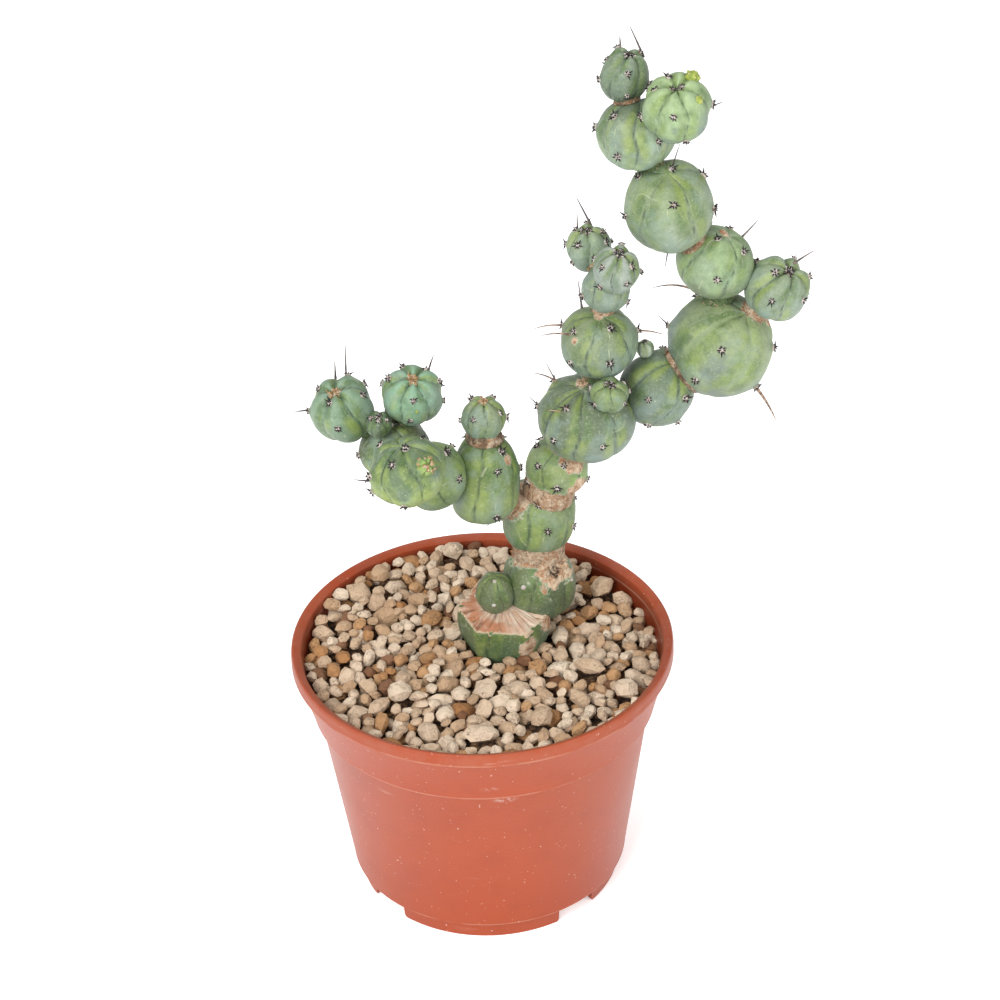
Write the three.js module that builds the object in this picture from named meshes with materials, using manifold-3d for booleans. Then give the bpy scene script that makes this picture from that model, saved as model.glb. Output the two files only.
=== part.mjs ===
// A potted candle cactus: a plastic nursery pot on four feet, filled with potting soil and a
// top dressing of loose pumice, and a cactus that grows as three arms of ribbed, rounded stem
// segments, each set on the one before it at a narrow neck, with its longest spines.
// Millimetres, +Z up. A heading is an angle round the pot: 0 is the front (-Y), 90 is +X.
import * as THREE from 'three';
import { mergeVertices } from 'three/addons/utils/BufferGeometryUtils.js';
import Module from 'manifold-3d';

const wasm = await Module();
wasm.setup();

// ---- driving dimensions ----
const gap = 0.3; // left between pieces that touch

const potSides = 48;
const foot = { outerRadius: 60.2, topRadius: 61, thickness: 2.2, height: 9.1 };
const notch = { count: 4, heading: -51, widthDegrees: 19 };
const wall = { bottomRadius: 63.2, flare: 0.1378, thickness: 2, topHeight: 93 };
const collar = { bottomRadius: 77, topRadius: 83, topHeight: 116.3 };
const rim = { radius: 85, bandHeight: 120.7, ridgeRadius: 84.4, height: 122.5 };
const mouth = { radius: 80.6, height: 121 };
const base = { underside: 9.4, top: 11.4 };
const drain = { count: 8, radius: 3.5, ringRadius: 47, centreRadius: 5 };

const soilTop = 102;
const dressing = { top: 113.5, bump: 0.9, rings: 8, sides: 36, heap: 5.5 };

const ribDepth = 0.1; // how deep a groove cuts in, as a share of the segment's radius
const facetsPerRib = 4;
const beadRings = 6;
const neckSides = 8;
const stump = { centre: [10, 15, 122], radius: 22, half: 24, ribs: 6, cutHeight: 127.5, cutTilt: 5 };

// ---- growth of the cactus ----
// Each segment: name, the segment it grows on, [lean from upright, heading, reach between the
// centres], [radius across, half length], ribs, [lean, heading] of its own axis, neck radius.
const growth = [
  ['trunk_lower', 'stump', [57, 117.9, 22.4], [16.6, 16.2], 6, [8, 160], 5],
  ['stump_side_shoot', 'stump', [14, -74, 14.5], [8.6, 10.7], 5, [6, -40], 4],
  ['trunk_middle', 'trunk_lower', [13, 174.4, 31.7], [16.5, 16], 5, [6, 60], 11.8],
  ['trunk_upper', 'trunk_middle', [18.3, 64.3, 29.4], [13.9, 11], 5, [14, 90], 11.5],
  ['trunk_crown', 'trunk_upper', [29, 90, 28.5], [21.6, 18.8], 7, [14, -14], 9],
  ['crown_offset', 'trunk_crown', [41, 32, 25], [8.3, 7.4], 5, [21, 15], 3],
  ['middle_arm_lower', 'trunk_crown', [9, 110, 36.5], [16.8, 15.8], 5, [14, 5], 7],
  ['middle_arm_upper', 'middle_arm_lower', [7, 90, 25.5], [10.4, 10.5], 5, [7, 90], 5],
  ['middle_tip_back', 'middle_arm_upper', [51, -156, 19.5], [9.7, 10.7], 5, [11, -30], 4],
  ['middle_tip_front', 'middle_arm_upper', [41, 15, 20], [9.9, 10.9], 5, [17, 32], 4],
  ['right_arm_1', 'trunk_crown', [73, 101, 32.5], [16.4, 17], 5, [32, 72], 7],
  ['right_arm_bud', 'right_arm_1', [15, -100, 20], [4, 4.2], 5, [12, -60], 2],
  ['right_arm_2', 'right_arm_1', [56, 96, 33.5], [23, 22.8], 5, [33, 58], 9],
  ['right_arm_3', 'right_arm_2', [4.9, -123, 39.1], [17.2, 14.8], 5, [21, 68], 7],
  ['right_side_tip', 'right_arm_2', [39, 78, 37], [14.1, 13.9], 6, [30, 52], 6],
  ['right_arm_4', 'right_arm_3', [35.3, -78.6, 35.7], [18.7, 19.2], 5, [18, -14], 4.6],
  ['right_arm_5', 'right_arm_4', [24.2, -106.3, 34.2], [16, 14.8], 6, [9, 127], 6],
  ['right_tip_back', 'right_arm_5', [15.6, -140.4, 24.5], [10.2, 11.7], 5, [15, 62], 5],
  ['right_tip_front', 'right_arm_5', [50.7, 53, 25.1], [14.2, 15], 6, [26, -6], 5],
  ['left_arm_1', 'trunk_middle', [43.5, -70.6, 35.9], [14.9, 19.4], 5, [8, 150], 8],
  ['left_arm_top_bead', 'left_arm_1', [7.2, 172.2, 28.7], [9.7, 10.4], 6, [3, 126], 7.2],
  ['left_arm_2', 'left_arm_1', [69.4, -64.2, 26.7], [14.9, 15.4], 5, [25, -60], 6],
  ['left_front_bead', 'left_arm_2', [55.7, -28.7, 25.2], [16.7, 14.4], 6, [12, -75], 6],
  ['left_arm_3', 'left_arm_2', [86, -143, 27.5], [15.8, 14.2], 5, [16, -40], 6],
  ['left_high_tip', 'left_arm_3', [19.1, 83.7, 27.9], [13.7, 13], 6, [19, 16], 5],
  ['left_small_bead', 'left_arm_3', [32, -32, 20.5], [5.8, 6.3], 5, [18, 21], 3],
  ['left_end_tip', 'left_arm_3', [45.2, -84.9, 30], [14.2, 15.8], 5, [24, -31], 5],
  ['new_shoot', 'left_front_bead', [57, 35, 16.2], [4.2, 4.6], 5, [50, 30], 2],
];

// Each long spine: name, the segment it stands on, [lean, heading] of its place on the segment,
// [lean, heading] that it points to, length.
const longSpines = [
  ['spine_end_tip_tall', 'left_end_tip', [31, 165], [33, 178], 14],
  ['spine_end_tip_short', 'left_end_tip', [31, -160], [33, -179], 7],
  ['spine_end_tip_side', 'left_end_tip', [86, -88], [95, -88], 7],
  ['spine_high_tip', 'left_high_tip', [45, 126], [38, 145], 7],
  ['spine_front_bead', 'left_front_bead', [97, -79], [85, -94], 7],
  ['spine_highest', 'right_tip_back', [48, 112], [40, -145], 13],
  ['spine_arm_3', 'right_arm_3', [51, 107], [54, 117], 10],
  ['spine_side_tip', 'right_side_tip', [33, 96], [65, 107], 10],
  ['spine_arm_2_long', 'right_arm_2', [35, -145], [82, -96], 22],
  ['spine_arm_2_low', 'right_arm_2', [131, 52], [137, 47], 18],
  ['spine_middle_left', 'middle_arm_lower', [69, -104], [94, -90], 13],
  ['spine_middle_front', 'middle_arm_lower', [63, -61], [90, -91], 13],
  ['spine_middle_back', 'middle_arm_lower', [38, -137], [33, -170], 12],
  ['spine_middle_right', 'middle_arm_lower', [77, 93], [98, 84], 12],
  ['spine_crown', 'trunk_crown', [49, -122], [71, -104], 11],
  ['spine_middle_tip', 'middle_tip_back', [27, 171], [41, -139], 13],
];
const spine = { baseRadius: 0.55, tipRadius: 0.12, sides: 6, rooted: 1.5 };

// The pumice stones that stand proud of the dressing: [x, y, length, width, height, turn].
const proudStones = [
  [-12, 70, 10, 9, 8, 20],
  [-46, 53, 9, 8, 7, 70],
  [-2, -60, 15, 9, 7, 5],
  [62, -32, 11, 9, 7, 120],
  [47, -14, 14, 8, 6, 150],
  [-37, -28, 11, 9, 7, 40],
  [24, -50, 12, 9, 7, 85],
  [56, 42, 12, 9, 8, 60],
];

// ---- materials ----
function material(colour, roughness) {
  return new THREE.MeshStandardMaterial({ color: colour, roughness, metalness: 0 });
}
const terracottaPlastic = material(0xcd6b50, 0.45);
const soilBrown = material(0x4a3423, 1);
const pumice = material(0xd7b9a0, 0.95);
const stemGreen = material(0x7f9f6d, 0.6);
const youngGreen = material(0xb5c94a, 0.6);
const corkBrown = material(0xd5a37a, 0.9);
const spineGrey = material(0x6d5f58, 0.7);

// ---- small helpers ----
const up = new THREE.Vector3(0, 0, 1);
const model = new THREE.Group();

function direction(leanDegrees, headingDegrees) {
  const lean = THREE.MathUtils.degToRad(leanDegrees);
  const heading = THREE.MathUtils.degToRad(headingDegrees);
  return new THREE.Vector3(
    Math.sin(lean) * Math.sin(heading),
    -Math.sin(lean) * Math.cos(heading),
    Math.cos(lean),
  );
}

// A matrix that takes a shape built round +Z at the origin to its centre and axis.
function placement(centre, axis) {
  const turn = new THREE.Quaternion().setFromUnitVectors(up, axis);
  return new THREE.Matrix4().compose(centre, turn, new THREE.Vector3(1, 1, 1));
}

function solidFrom(geometry) {
  const bare = geometry.clone();
  bare.deleteAttribute('normal');
  bare.deleteAttribute('uv');
  const merged = mergeVertices(bare);
  return new wasm.Manifold(new wasm.Mesh({
    numProp: 3,
    vertProperties: new Float32Array(merged.attributes.position.array),
    triVerts: new Uint32Array(merged.index.array),
  }));
}

function geometryFrom(solid) {
  const mesh = solid.getMesh();
  const geometry = new THREE.BufferGeometry();
  geometry.setAttribute('position', new THREE.BufferAttribute(new Float32Array(mesh.vertProperties), 3));
  geometry.setIndex(new THREE.BufferAttribute(new Uint32Array(mesh.triVerts), 1));
  geometry.computeVertexNormals();
  return geometry;
}

function addPiece(name, solid, look) {
  const piece = new THREE.Mesh(geometryFrom(solid), look);
  piece.name = name;
  model.add(piece);
}

// A ring profile of [radius, height] points turned round the pot's axis.
function turned(profile, sides) {
  const points = profile.map(([radius, height]) => new THREE.Vector2(radius, height));
  return new THREE.LatheGeometry(points, sides).rotateX(Math.PI / 2);
}

// ---- pot ----
function wallRadius(height) {
  return wall.bottomRadius + wall.flare * (height - foot.height);
}

// The inside radius of the pot at a height, along the straight wall and then the wider collar.
function insideRadius(height) {
  if (height < wall.topHeight) {
    return wallRadius(height) - wall.thickness;
  }
  const share = (height - wall.topHeight) / (mouth.height - wall.topHeight);
  return THREE.MathUtils.lerp(collar.bottomRadius - wall.thickness, mouth.radius, share);
}

function makePot() {
  const outside = [
    [0, base.underside],
    [foot.outerRadius - foot.thickness, base.underside],
    [foot.outerRadius - foot.thickness, 0],
    [foot.outerRadius, 0],
    [foot.topRadius, foot.height],
    [wall.bottomRadius - 0.6, foot.height],
    [wall.bottomRadius, foot.height + 0.6],
    [wallRadius(wall.topHeight), wall.topHeight],
    [collar.bottomRadius, wall.topHeight],
    [collar.topRadius, collar.topHeight],
    [rim.radius - 0.4, collar.topHeight + 0.2],
    [rim.radius, collar.topHeight + 0.8],
    [rim.radius, rim.bandHeight],
    [rim.ridgeRadius, rim.height],
    [rim.ridgeRadius - 1, rim.height],
  ];
  const inside = [
    [mouth.radius, mouth.height],
    [insideRadius(wall.topHeight + 1), wall.topHeight + 1],
    [insideRadius(wall.topHeight - 1), wall.topHeight - 1],
    [insideRadius(base.top), base.top],
    [0, base.top],
  ];
  let pot = solidFrom(turned([...outside, ...inside], potSides));
  for (let i = 0; i < notch.count; i += 1) {
    pot = pot.subtract(footNotch(notch.heading + (360 / notch.count) * i));
  }
  return pot.subtract(drainHoles());
}

// The block that cuts one gap between two feet, from below up to the wall's lower edge.
function footNotch(heading) {
  const width = 2 * foot.outerRadius * Math.sin(THREE.MathUtils.degToRad(notch.widthDegrees / 2));
  const block = new THREE.BoxGeometry(width, 3 * foot.thickness, 2 * foot.height);
  block.translate(0, -(foot.outerRadius - foot.thickness / 2), 0);
  block.rotateZ(THREE.MathUtils.degToRad(heading));
  return solidFrom(block);
}

function onRing(radius, angle) {
  return [radius * Math.sin(angle), -radius * Math.cos(angle)];
}

function drainHoles() {
  const drill = (radius, x, y) => {
    const height = 3 * (base.top - base.underside);
    const bit = new THREE.CylinderGeometry(radius, radius, height, 12).rotateX(Math.PI / 2);
    bit.translate(x, y, (base.top + base.underside) / 2);
    return solidFrom(bit);
  };
  let holes = drill(drain.centreRadius, 0, 0);
  for (let i = 0; i < drain.count; i += 1) {
    const angle = THREE.MathUtils.degToRad(notch.heading + (360 / drain.count) * i);
    holes = holes.add(drill(drain.radius, ...onRing(drain.ringRadius, angle)));
  }
  return holes;
}

// ---- filling ----
function makeSoil() {
  const low = base.top + gap;
  const shoulder = wall.topHeight - 1;
  const shoulderTop = wall.topHeight + 1;
  return solidFrom(turned([
    [0, low],
    [insideRadius(low) - gap, low],
    [insideRadius(shoulder) - gap, shoulder],
    [insideRadius(shoulderTop) - gap, shoulderTop],
    [insideRadius(soilTop) - gap, soilTop],
    [0, soilTop],
  ], potSides));
}

// How much higher than at the front the dressing is heaped, rising towards the back left.
function heapAt(x, y) {
  return dressing.heap * THREE.MathUtils.smoothstep(y * 0.95 - x * 0.3, -5, 68);
}

// The dressing of loose stones as one body: a heaped disc with a grain-sized wave on its top.
function makeDressing() {
  const low = soilTop + gap;
  const edge = dressing.top - 2;
  const edgeRadius = insideRadius(edge) - 1;
  const profile = [[0, low], [insideRadius(low) - 1, low], [edgeRadius, edge]];
  for (let ring = dressing.rings; ring >= 0; ring -= 1) {
    profile.push([(ring / dressing.rings) * (edgeRadius - 2), dressing.top]);
  }
  const disc = turned(profile, dressing.sides);
  const spots = disc.attributes.position;
  for (let i = 0; i < spots.count; i += 1) {
    const heap = heapAt(spots.getX(i), spots.getY(i));
    if (spots.getZ(i) > edge + 0.5) {
      const wave = Math.sin(spots.getX(i) * 0.55) + Math.cos(spots.getY(i) * 0.6 + spots.getX(i) * 0.2);
      spots.setZ(i, dressing.top + heap + dressing.bump * wave);
    } else if (spots.getZ(i) > edge - 0.5) {
      spots.setZ(i, edge + heap * 0.8);
    }
  }
  return solidFrom(disc);
}

// A stone: a twenty-sided lump, stretched and turned, with its middle at the dressing's top.
function makeStone([x, y, length, width, height, turn]) {
  const lump = new THREE.IcosahedronGeometry(0.5, 1).scale(length, width, height);
  lump.rotateZ(THREE.MathUtils.degToRad(turn));
  lump.translate(x, y, dressing.top + heapAt(x, y) + height * 0.2);
  return solidFrom(lump);
}

// ---- cactus ----
// A ribbed spheroid round +Z: a sphere drawn in along its grooves, then stretched.
function ribbedBead(radius, half, ribs) {
  const ball = new THREE.SphereGeometry(1, ribs * facetsPerRib, beadRings).rotateX(Math.PI / 2);
  const spots = ball.attributes.position;
  for (let i = 0; i < spots.count; i += 1) {
    const turn = Math.atan2(spots.getY(i), spots.getX(i));
    const groove = 1 - Math.abs(Math.cos((turn * ribs) / 2));
    const draw = radius * (1 - ribDepth * groove);
    spots.setXYZ(i, spots.getX(i) * draw, spots.getY(i) * draw, spots.getZ(i) * half);
  }
  return ball;
}

function beadSolid(segment, extra) {
  const bead = ribbedBead(segment.radius + extra, segment.half + extra, segment.ribs);
  return solidFrom(bead.applyMatrix4(placement(segment.centre, segment.axis)));
}

// The narrow stem between a segment's middle and the middle of the one it grows on.
function neckSolid(segment, parent, extra) {
  const along = segment.centre.clone().sub(parent.centre);
  const radius = segment.neck + extra;
  const rod = new THREE.CylinderGeometry(radius, radius, along.length(), neckSides).rotateX(Math.PI / 2);
  const middle = segment.centre.clone().add(parent.centre).multiplyScalar(0.5);
  return solidFrom(rod.applyMatrix4(placement(middle, along.normalize())));
}

// The flat, dried top of the old stump: everything above it, or a little higher, is cut away.
function stumpCut(raise) {
  const block = new THREE.BoxGeometry(4 * stump.radius, 4 * stump.radius, 2 * stump.radius);
  block.translate(0, 0, stump.radius);
  block.rotateX(THREE.MathUtils.degToRad(stump.cutTilt));
  block.translate(stump.centre[0], stump.centre[1], stump.cutHeight + raise);
  return solidFrom(block);
}

function makeSegments() {
  const root = {
    centre: new THREE.Vector3(...stump.centre),
    axis: up.clone(),
    radius: stump.radius,
    half: stump.half,
    ribs: stump.ribs,
    neck: 0,
  };
  root.solid = beadSolid(root, 0).subtract(stumpCut(0));
  root.clearance = beadSolid(root, gap).subtract(stumpCut(gap));
  const segments = new Map([['stump', root]]);
  for (const [name, parentName, [lean, heading, reach], [radius, half], ribs, axis, neck] of growth) {
    const parent = segments.get(parentName);
    const centre = parent.centre.clone().addScaledVector(direction(lean, heading), reach);
    const segment = { centre, axis: direction(...axis), radius, half, ribs, neck };
    segment.clearance = beadSolid(segment, gap).add(neckSolid(segment, parent, gap));
    segment.solid = beadSolid(segment, 0).add(neckSolid(segment, parent, 0));
    for (const older of segments.values()) {
      segment.solid = segment.solid.subtract(older.clearance);
    }
    segment.solid = largestPart(segment.solid);
    segments.set(name, segment);
  }
  return segments;
}

// A neck that reaches through its parent leaves a scrap on the far side: only the segment stays.
function largestPart(solid) {
  return solid.decompose().reduce((best, part) => (part.volume() > best.volume() ? part : best));
}

function makeSpine([, on, [lean, heading], [tipLean, tipHeading], length], segments) {
  const segment = segments.get(on);
  const place = direction(lean, heading);
  const along = direction(tipLean, tipHeading);
  const whole = length + spine.rooted;
  const rod = new THREE.CylinderGeometry(spine.tipRadius, spine.baseRadius, whole, spine.sides);
  const middle = segment.centre.clone().addScaledVector(place, segment.radius);
  middle.addScaledVector(along, whole / 2 - spine.rooted);
  const solid = solidFrom(rod.rotateX(Math.PI / 2).applyMatrix4(placement(middle, along)));
  return largestPart(solid.subtract(segment.clearance));
}

// ---- assembly ----
const segments = makeSegments();
const stumpRoom = segments.get('stump').clearance;
let dressingSolid = makeDressing().subtract(stumpRoom).subtract(segments.get('trunk_lower').clearance);

proudStones.forEach((stone, index) => {
  const [x, y, length, width, height, turn] = stone;
  const room = [x, y, length + 2 * gap, width + 2 * gap, height + 2 * gap, turn];
  dressingSolid = dressingSolid.subtract(makeStone(room));
  addPiece(`pumice_stone_${index + 1}`, makeStone(stone), pumice);
});
addPiece('pot', makePot(), terracottaPlastic);
addPiece('potting_soil', makeSoil().subtract(stumpRoom), soilBrown);
addPiece('pumice_dressing', dressingSolid, pumice);

for (const [name, segment] of segments) {
  const looks = { stump: corkBrown, new_shoot: youngGreen };
  addPiece(name, segment.solid, looks[name] ?? stemGreen);
}
for (const row of longSpines) {
  addPiece(row[0], makeSpine(row, segments), spineGrey);
}

// The origin: on the floor, under the middle of the whole part.
const extent = new THREE.Box3().setFromObject(model);
const middle = extent.getCenter(new THREE.Vector3());
model.position.set(-middle.x, -middle.y, -extent.min.z);

export default model;
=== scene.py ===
import math
import random

import bpy
import numpy as np
from mathutils import Matrix, Vector, noise


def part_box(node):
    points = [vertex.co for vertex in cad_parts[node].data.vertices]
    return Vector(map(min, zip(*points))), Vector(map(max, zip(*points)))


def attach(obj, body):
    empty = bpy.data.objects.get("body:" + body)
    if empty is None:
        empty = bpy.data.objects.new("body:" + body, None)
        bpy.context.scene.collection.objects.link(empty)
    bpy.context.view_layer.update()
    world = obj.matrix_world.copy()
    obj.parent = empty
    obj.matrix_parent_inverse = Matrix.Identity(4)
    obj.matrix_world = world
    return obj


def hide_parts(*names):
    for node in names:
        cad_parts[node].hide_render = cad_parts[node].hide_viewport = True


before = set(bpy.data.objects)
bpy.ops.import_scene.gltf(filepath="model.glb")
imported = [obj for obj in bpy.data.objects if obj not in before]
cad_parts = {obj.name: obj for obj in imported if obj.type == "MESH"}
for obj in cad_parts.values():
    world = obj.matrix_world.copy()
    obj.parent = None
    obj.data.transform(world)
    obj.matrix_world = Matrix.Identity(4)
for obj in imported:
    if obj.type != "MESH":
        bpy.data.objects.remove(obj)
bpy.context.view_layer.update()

mm = 0.001
potLow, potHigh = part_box("pot")
potCentre = Vector(((potLow.x + potHigh.x) / 2, (potLow.y + potHigh.y) / 2, potLow.z))


# selecting, shaping and finishing pieces

def deselectAll():
    if bpy.context.object and bpy.context.object.mode != "OBJECT":
        bpy.ops.object.mode_set(mode="OBJECT")
    bpy.ops.object.select_all(action="DESELECT")


def selectOnly(piece):
    deselectAll()
    piece.select_set(True)
    bpy.context.view_layer.objects.active = piece


def bakePlace(piece):
    selectOnly(piece)
    bpy.ops.object.transform_apply(location=True, rotation=True, scale=True)


def applyModifier(piece, kind, **settings):
    selectOnly(piece)
    modifier = piece.modifiers.new(kind.title(), kind)
    for key, value in settings.items():
        setattr(modifier, key, value)
    bpy.ops.object.modifier_apply(modifier=modifier.name)


def inFrame(points):  # millimetres round the pot's axis to metres in the frame
    return np.asarray(points) * mm + np.array(potCentre)


def meshPiece(points, faces):
    data = bpy.data.meshes.new("piece")
    data.from_pydata([tuple(p) for p in points], [], faces)
    data.update()
    piece = bpy.data.objects.new("piece", data)
    bpy.context.collection.objects.link(piece)
    return piece


def tubeFaces(rows, sides):  # a closed tube of rings
    faces = [tuple(reversed(range(sides))), tuple(rows * sides + i for i in range(sides))]
    for row in range(rows):
        for i in range(sides):
            a, b = row * sides + i, row * sides + (i + 1) % sides
            faces.append((a, b, b + sides, a + sides))
    return faces


def discFaces(rows, spokes):  # an upper and a lower layer of rings, closed in the middle and at the edge
    layer = rows * spokes
    faces = [tuple(range(spokes)), tuple(layer + i for i in reversed(range(spokes)))]
    for spoke in range(spokes):
        for row in range(rows):
            a, b = row * spokes + spoke, row * spokes + (spoke + 1) % spokes
            if row == rows - 1:
                faces.append((a, layer + a, layer + b, b))
            else:
                faces.append((a, a + spokes, b + spokes, b))
                faces.append((layer + b, layer + b + spokes, layer + a + spokes, layer + a))
    return faces


def ballPiece(segments, rings):  # a ball of radius 1, its points, and their angles from the top and round
    bpy.ops.mesh.primitive_uv_sphere_add(segments=segments, ring_count=rings, radius=1)
    unit = getPoints(bpy.context.object)
    return bpy.context.object, unit, np.arccos(np.clip(unit[:, 2], -1, 1)), np.arctan2(unit[:, 1],
                                                                                       unit[:, 0])


def editAll(piece, *steps):  # runs operators on the whole mesh in edit mode
    selectOnly(piece)
    bpy.ops.object.mode_set(mode="EDIT")
    bpy.ops.mesh.select_all(action="SELECT")
    for operator, settings in steps:
        operator(**settings)
    bpy.ops.object.mode_set(mode="OBJECT")


def recalculateNormals(piece):
    editAll(piece, (bpy.ops.mesh.normals_make_consistent, {"inside": False}))


def setPoints(piece, points):
    piece.data.vertices.foreach_set("co", np.asarray(points, float).ravel())
    piece.data.update()


def getPoints(piece):
    flat = np.zeros(len(piece.data.vertices) * 3)
    piece.data.vertices.foreach_get("co", flat)
    return flat.reshape(-1, 3)


def setMask(piece, name, values):
    layer = piece.data.attributes.new(name, "FLOAT", "POINT")
    layer.data.foreach_set("value", np.asarray(values, float))


def givePiece(piece, name, slot, looks, angle, *nodes):  # finishes a piece, which stands for these nodes
    selectOnly(piece)
    if angle is None:
        bpy.ops.object.shade_smooth()
    else:
        bpy.ops.object.shade_smooth_by_angle(angle=math.radians(angle))
    for look in looks:
        piece.data.materials.append(look)
    piece.name = name
    piece.data.name = name
    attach(piece, "root")
    if nodes:
        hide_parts(*nodes)


def direction(lean, heading):  # lean from upright, heading round the pot: 0 is the front, 90 is +X
    lean, heading = math.radians(lean), math.radians(heading)
    return Vector((math.sin(lean) * math.sin(heading), -math.sin(lean) * math.cos(heading), math.cos(lean)))


def turnTo(way):  # turns what points up to point this way
    return np.array(Vector((0, 0, 1)).rotation_difference(way).to_matrix())


def smoothStep(low, high, values):
    share = np.clip((values - low) / (high - low), 0, 1)
    return share * share * (3 - 2 * share)


def noiseAt(points, scale, seed):
    shift = Vector((seed * 7.31, seed * 3.17, seed * 5.71))
    return np.array([noise.noise(Vector(p) * scale + shift) for p in points])


# colours, masks and materials

def srgb(code, gain=1.55):  # a colour as it looks under the studio's bright light
    parts = [int(code[i:i + 2], 16) / 255 for i in (0, 2, 4)]
    return tuple((p / 12.92 if p <= 0.04045 else ((p + 0.055) / 1.055) ** 2.4) / gain for p in parts) + (1,)


def fillInput(tree, socket, value):  # a link from another node's output, or a plain value
    if isinstance(value, bpy.types.NodeSocket):
        tree.links.new(value, socket)
    else:
        socket.default_value = value


def addNode(tree, kind, inputs=None, **settings):
    node = tree.nodes.new("ShaderNode" + kind)
    for key, value in settings.items():
        setattr(node, key, value)
    for key, value in (inputs or {}).items():
        fillInput(tree, node.inputs[key], value)
    return node


def maths(tree, operation, first, second=0.0, clamp=False):
    return addNode(tree, "Math", {0: first, 1: second}, operation=operation, use_clamp=clamp).outputs[0]


def vectors(tree, operation, first, second=(0, 0, 0)):
    return addNode(tree, "VectorMath", {0: first, 1: second}, operation=operation).outputs


def ramp(tree, value, low, high, start=0.0, end=1.0):
    return addNode(tree, "MapRange",
                   {"Value": value, "From Min": low, "From Max": high, "To Min": start, "To Max": end},
                   interpolation_type="SMOOTHSTEP").outputs[0]


def times(tree, first, *others):  # masks and numbers multiplied together
    for other in others:
        first = maths(tree, "MULTIPLY", first, other)
    return first


def newGroup(name, given):  # a group that puts out one mask, with a socket for each number it is given
    tree = bpy.data.node_groups.new(name, "ShaderNodeTree")
    for label, value in given.items():
        socket = tree.interface.new_socket(label, in_out="INPUT", socket_type="NodeSocketFloat")
        socket.default_value = value
    tree.interface.new_socket("Mask", in_out="OUTPUT", socket_type="NodeSocketFloat")
    sockets = tree.nodes.new("NodeGroupInput").outputs
    moved = vectors(tree, "ADD", addNode(tree, "TexCoord").outputs["Object"], sockets["Shift"])[0]
    return tree, sockets, moved, tree.nodes.new("NodeGroupOutput").inputs["Mask"]


def makeBlotches():  # soft patches from noise at one size, as a mask
    tree, given, place, out = newGroup(
        "blotches", {"Scale": 60, "Shift": 0, "Detail": 3, "Low": 0.4, "High": 0.6})
    grain = addNode(tree, "TexNoise",
                    {"Vector": place, "Scale": given["Scale"], "Detail": given["Detail"], "Roughness": 0.6})
    tree.links.new(ramp(tree, grain.outputs["Fac"], given["Low"], given["High"]), out)
    return tree


def makeHairlines():  # thin wandering lines, as healed scratches leave
    tree, given, place, out = newGroup("hairlines", {"Scale": 40, "Shift": 0, "Width": 0.02})
    bent = addNode(tree, "TexNoise", {"Vector": place, "Scale": given["Scale"], "Detail": 2.0})
    size = maths(tree, "ABSOLUTE", maths(tree, "SUBTRACT", bent.outputs["Fac"], 0.5))
    tree.links.new(ramp(tree, size, 0.0, given["Width"], 1.0, 0.0), out)
    return tree


blotchGroup, hairlineGroup = makeBlotches(), makeHairlines()


def blotches(tree, scale, shift=0.0, low=0.4, high=0.6, detail=3.0):
    node = addNode(tree, "Group",
                   {"Scale": scale, "Shift": shift, "Low": low, "High": high, "Detail": detail},
                   node_tree=blotchGroup)
    return node.outputs["Mask"]


def hairlines(tree, scale, shift=0.0, width=0.02):
    node = addNode(tree, "Group", {"Scale": scale, "Shift": shift, "Width": width}, node_tree=hairlineGroup)
    return node.outputs["Mask"]


def attribute(tree, name):
    return addNode(tree, "Attribute", attribute_name=name).outputs["Fac"]


def mixColour(tree, share, first, second):
    node = addNode(tree, "Mix", data_type="RGBA")
    for number, value in ((0, share), (6, first), (7, second)):
        fillInput(tree, node.inputs[number], value)
    return node.outputs[2]


def tint(tree, colour, code, *masks):  # another colour over this one, where all the masks let it through
    return mixColour(tree, times(tree, *masks), colour, srgb(code))


def newMaterial(name, roughness=0.5):
    look = bpy.data.materials.new(name)
    look.use_nodes = True
    tree = look.node_tree
    shader = tree.nodes["Principled BSDF"]
    shader.inputs["Roughness"].default_value = roughness
    return look, tree, shader


def setLook(tree, shader, colour, height, distance, strength=1.0, rough=None):
    tree.links.new(colour, shader.inputs["Base Color"])
    bump = addNode(tree, "Bump", {"Height": height, "Strength": strength, "Distance": distance})
    tree.links.new(bump.outputs["Normal"], shader.inputs["Normal"])
    if rough:
        tree.links.new(rough, shader.inputs["Roughness"])


def corkColour(tree, shift, cracks):  # flaking cork: cream and pink over tan, with dark cracks
    colour = mixColour(tree, blotches(tree, 300, shift + 5, 0.38, 0.62, 5.0), srgb("c0916a"),
                       srgb("eed5b5"))
    stain = times(tree, blotches(tree, 130, shift + 11, 0.5, 0.66), 0.6)
    colour = tint(tree, colour, "c98a5c", stain)
    crumbs = times(tree, blotches(tree, 900, shift + 12, 0.5, 0.66), 0.6)
    colour = tint(tree, colour, "f1dfc6", crumbs)
    flake = blotches(tree, 480, shift + 8, 0.58, 0.66, 6.0)
    return tint(tree, colour, "6e4a36", flake, cracks)


# where the camera stands from the pot's foot, in millimetres, and how it is turned
camera = {"back": 902, "height": 772.5, "down": 32.66, "turn": 0.64, "roll": -1.94, "lens": 90,
          "sensor": 36}


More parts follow.
